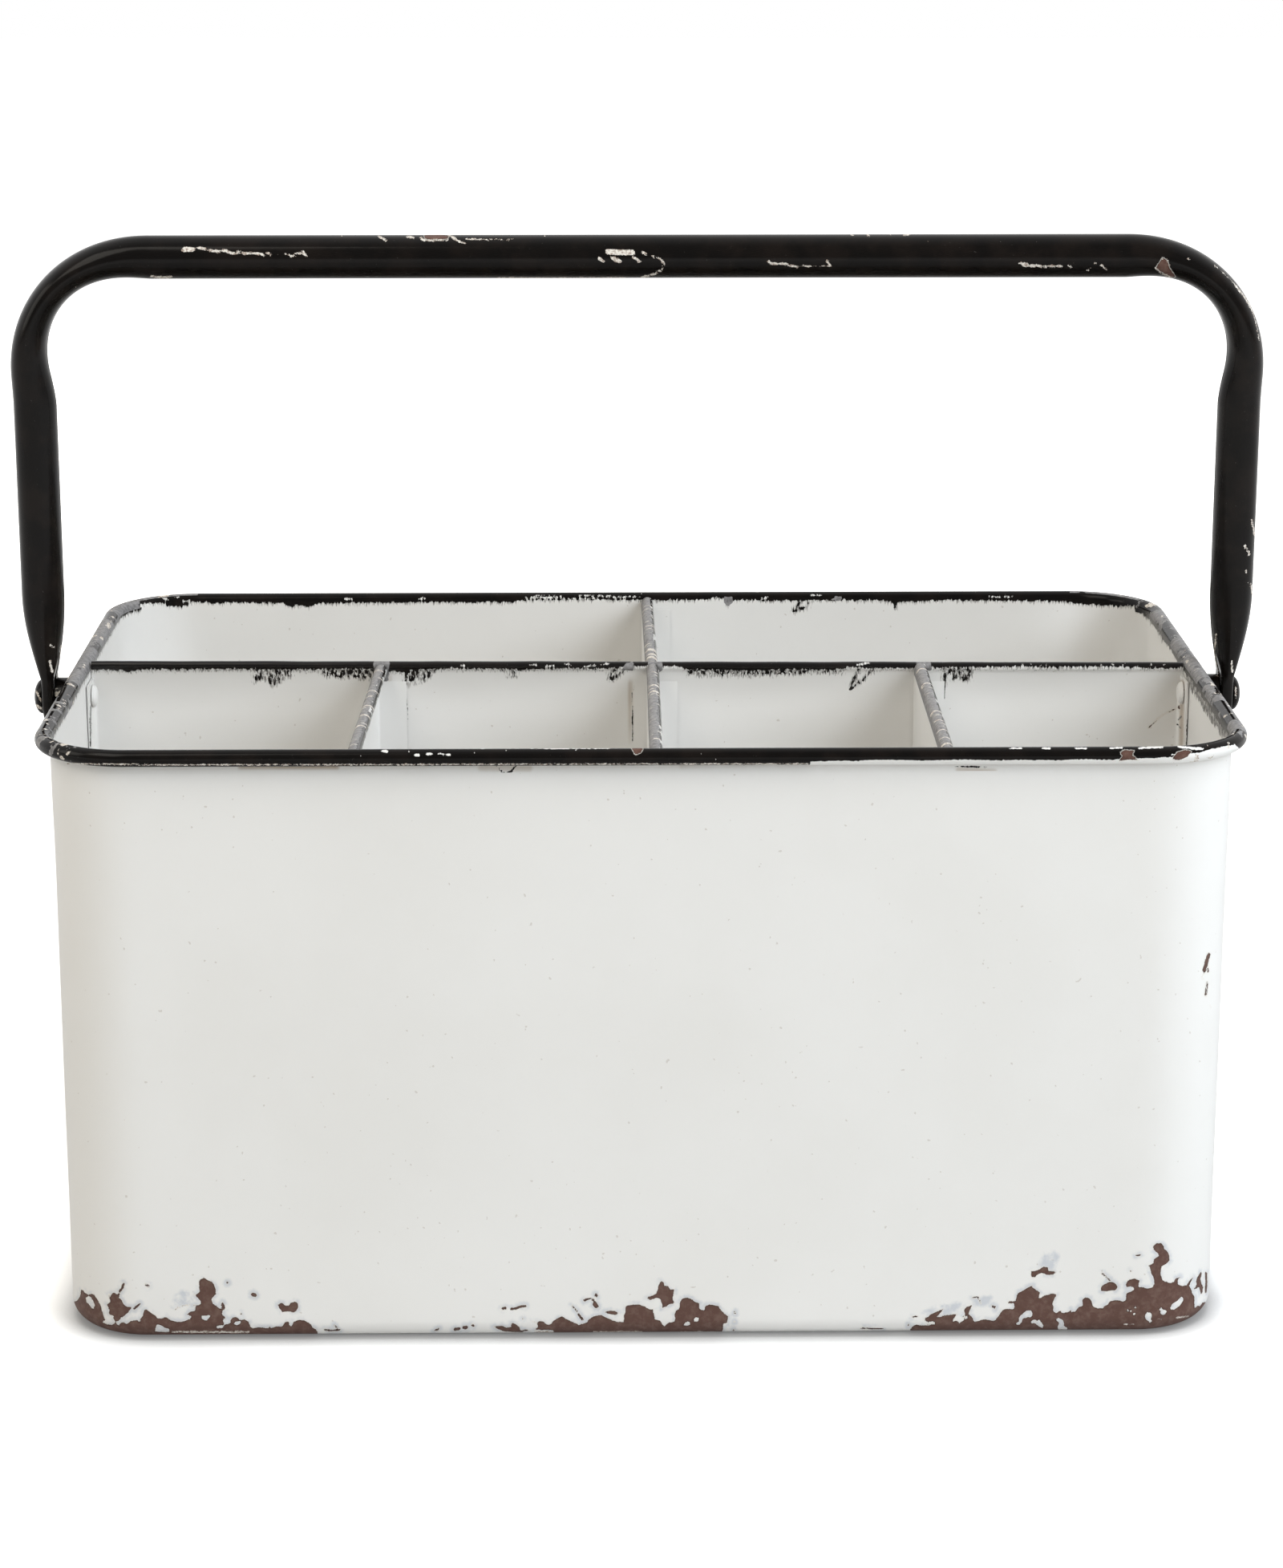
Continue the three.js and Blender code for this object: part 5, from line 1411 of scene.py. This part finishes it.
def cross_divider_fields(points, x, seed, skew=(0.0, 0.0)):
    """Rolled edge, black and grey down to its right side, the grey scuffs and painted sheen, with pale scrapes
    along the top.
    """
    fields = blank(points)
    z = points[:, 2]
    hem = z > FLANGE_TOP + 0.02
    fields["brush"][:] = BRUSH_DIVIDER
    middle = x + np.interp(points[:, 1], (-INNER_DEPTH / 2, LONG_FRONT), (skew[1], skew[0]))
    off = points[:, 0] - middle - HEM + SHEET / 2
    edge = z - HEM_Z - CROSS_RISE + CROSS_WANDER * waves(points, 9.0, seed, 3)
    fields["black"] = np.where(hem, edge + 0.5 * np.clip(off, -1, 1), -FAR)
    dashes = patches(points, size=6.0, seed=seed + 40, octaves=2, above=0.42, steep=1, stretch=(3.0, 0.7, 1.0))
    fields["black"] = np.where(hem & (dashes > 0), -0.3, fields["black"])
    # Grey over the top and left of the rolled edge: painted reflection of the light from above, with some scuffing.
    fields["scuff_and_sheen"] = np.where(hem, 0.9 - off + 0.5 * waves(points, 5.0, seed + 60, 2), -FAR)
    scrapes = patches(points, size=4.6, seed=seed + 80, octaves=3, above=0.38, steep=2.0, stretch=(0.5, 2.4, 0.5))
    fields["pale"] = np.where(hem & (z > HEM_Z), scrapes, -FAR)
    return fields


def handle_fields(points):
    """Black, with the scrapes and painted glints, chips and painted bend reflection that the camera sees, and
    seeded spots elsewhere.
    """
    fields = blank(points, black=FAR)
    pixels = photo_pixels(points)
    seen = (points[:, 1] < SEEN_BEFORE) & (points[:, 2] > PIVOT_Z - SEEN_BELOW_PIVOT)
    # Painted reflection on the right bend, laid in the pale layer with the scrapes.
    worn = marked(pixels[seen], SCALE_MIDDLE, BEND_REFLECTION) - 0.25
    fields["pale"][seen] = np.maximum(marked(pixels[seen], SCALE_MIDDLE, HANDLE_SCRAPES_AND_GLINTS), worn)
    fields["chip"][seen] = marked(pixels[seen], SCALE_MIDDLE, BAR_CHIPS)
    fields["pale"][~seen] = patches(points[~seen], size=8.0, seed=51, octaves=3, above=0.72, steep=5)
    return fields


def rivet_fields(points):
    """Black outside the bin with worn heads, and white on the tails inside it."""
    fields = blank(points, black=FAR)
    inside = np.abs(points[:, 0]) < INNER_LENGTH / 2 - 2 * GAP - SHEET / 2
    fields["black"][inside] = -0.2
    wear = marked(photo_pixels(points), SCALE_MIDDLE, RIVET_HEAD_WEAR)
    fields["pale"] = np.where(inside, -FAR, wear)
    return fields


def spacer_fields(points):
    fields = blank(points, black=FAR)
    fields["pale"] = patches(points, size=3.0, seed=71, octaves=2, above=0.45, steep=4)
    return fields


# --------------------------------------------------------------------------------------------- assembly

def caddy_piece(name, mesh, material, node, fields, *more):
    """Piece on the caddy's own body, in white or black enamel. More goes to its fields."""
    points, faces = mesh
    piece(name, points, faces, material, node, "caddy", fields(points, *more))


def build_bin(white, black):
    points, faces = wall_mesh()
    fields = wall_fields(points)
    piece("bin_wall", buckled(points), faces, white, "body_shell", "caddy", fields)
    caddy_piece("rim_roll", roll_mesh(), black, "body_shell", roll_fields)
    caddy_piece("lap_seam", seam_mesh(), white, "body_shell", blank)


def build_dividers(white):
    caddy_piece("divider_long", long_divider_mesh(), white, "long_divider", long_divider_fields)
    for seed, (node, x) in enumerate(CROSS_X.items(), start=2):
        name, mesh = node.replace("front_divider", "divider_front"), front_divider_mesh(node, seed)
        caddy_piece(name, mesh, white, node, cross_divider_fields, x, seed, CROSS_SKEW[node])
    caddy_piece("divider_back", back_divider_mesh(), white, "back_divider", cross_divider_fields, BACK_X, 9)


def build_handle(black):
    points, faces = handle_mesh()
    piece("bail", points, faces, black, "handle", "handle", handle_fields(points), 50.0)
    for word, side in (("left", -1), ("right", 1)):
        caddy_piece(f"rivet_{word}", rivet_mesh(side), black, f"{word}_rivet", rivet_fields)
        caddy_piece(f"bush_{word}", spacer_mesh(side), black, f"{word}_spacer", spacer_fields)


def dress_kept_nodes(**materials):
    """CAD nodes that stay, with materials of this scene."""
    for node, material in materials.items():
        for part_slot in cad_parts[node].material_slots:
            part_slot.material = material


make_camera()
make_world()
make_floor()
for one_lamp in LAMPS:
    make_lamp(*one_lamp)
white_paint = enamel("white_enamel_worn", WHITE_SHINE)
black_paint = enamel("black_enamel_worn", BLACK_SHINE)
build_bin(white_paint, black_paint)
build_dividers(white_paint)
build_handle(black_paint)
dress_kept_nodes(base_pan=plain_enamel("white_enamel_floor", WHITE_SHINE), rim_wire=bare_steel("drawn_steel"))
bpy.context.scene.view_settings.view_transform = 'Standard'

bpy.context.view_layer.update()
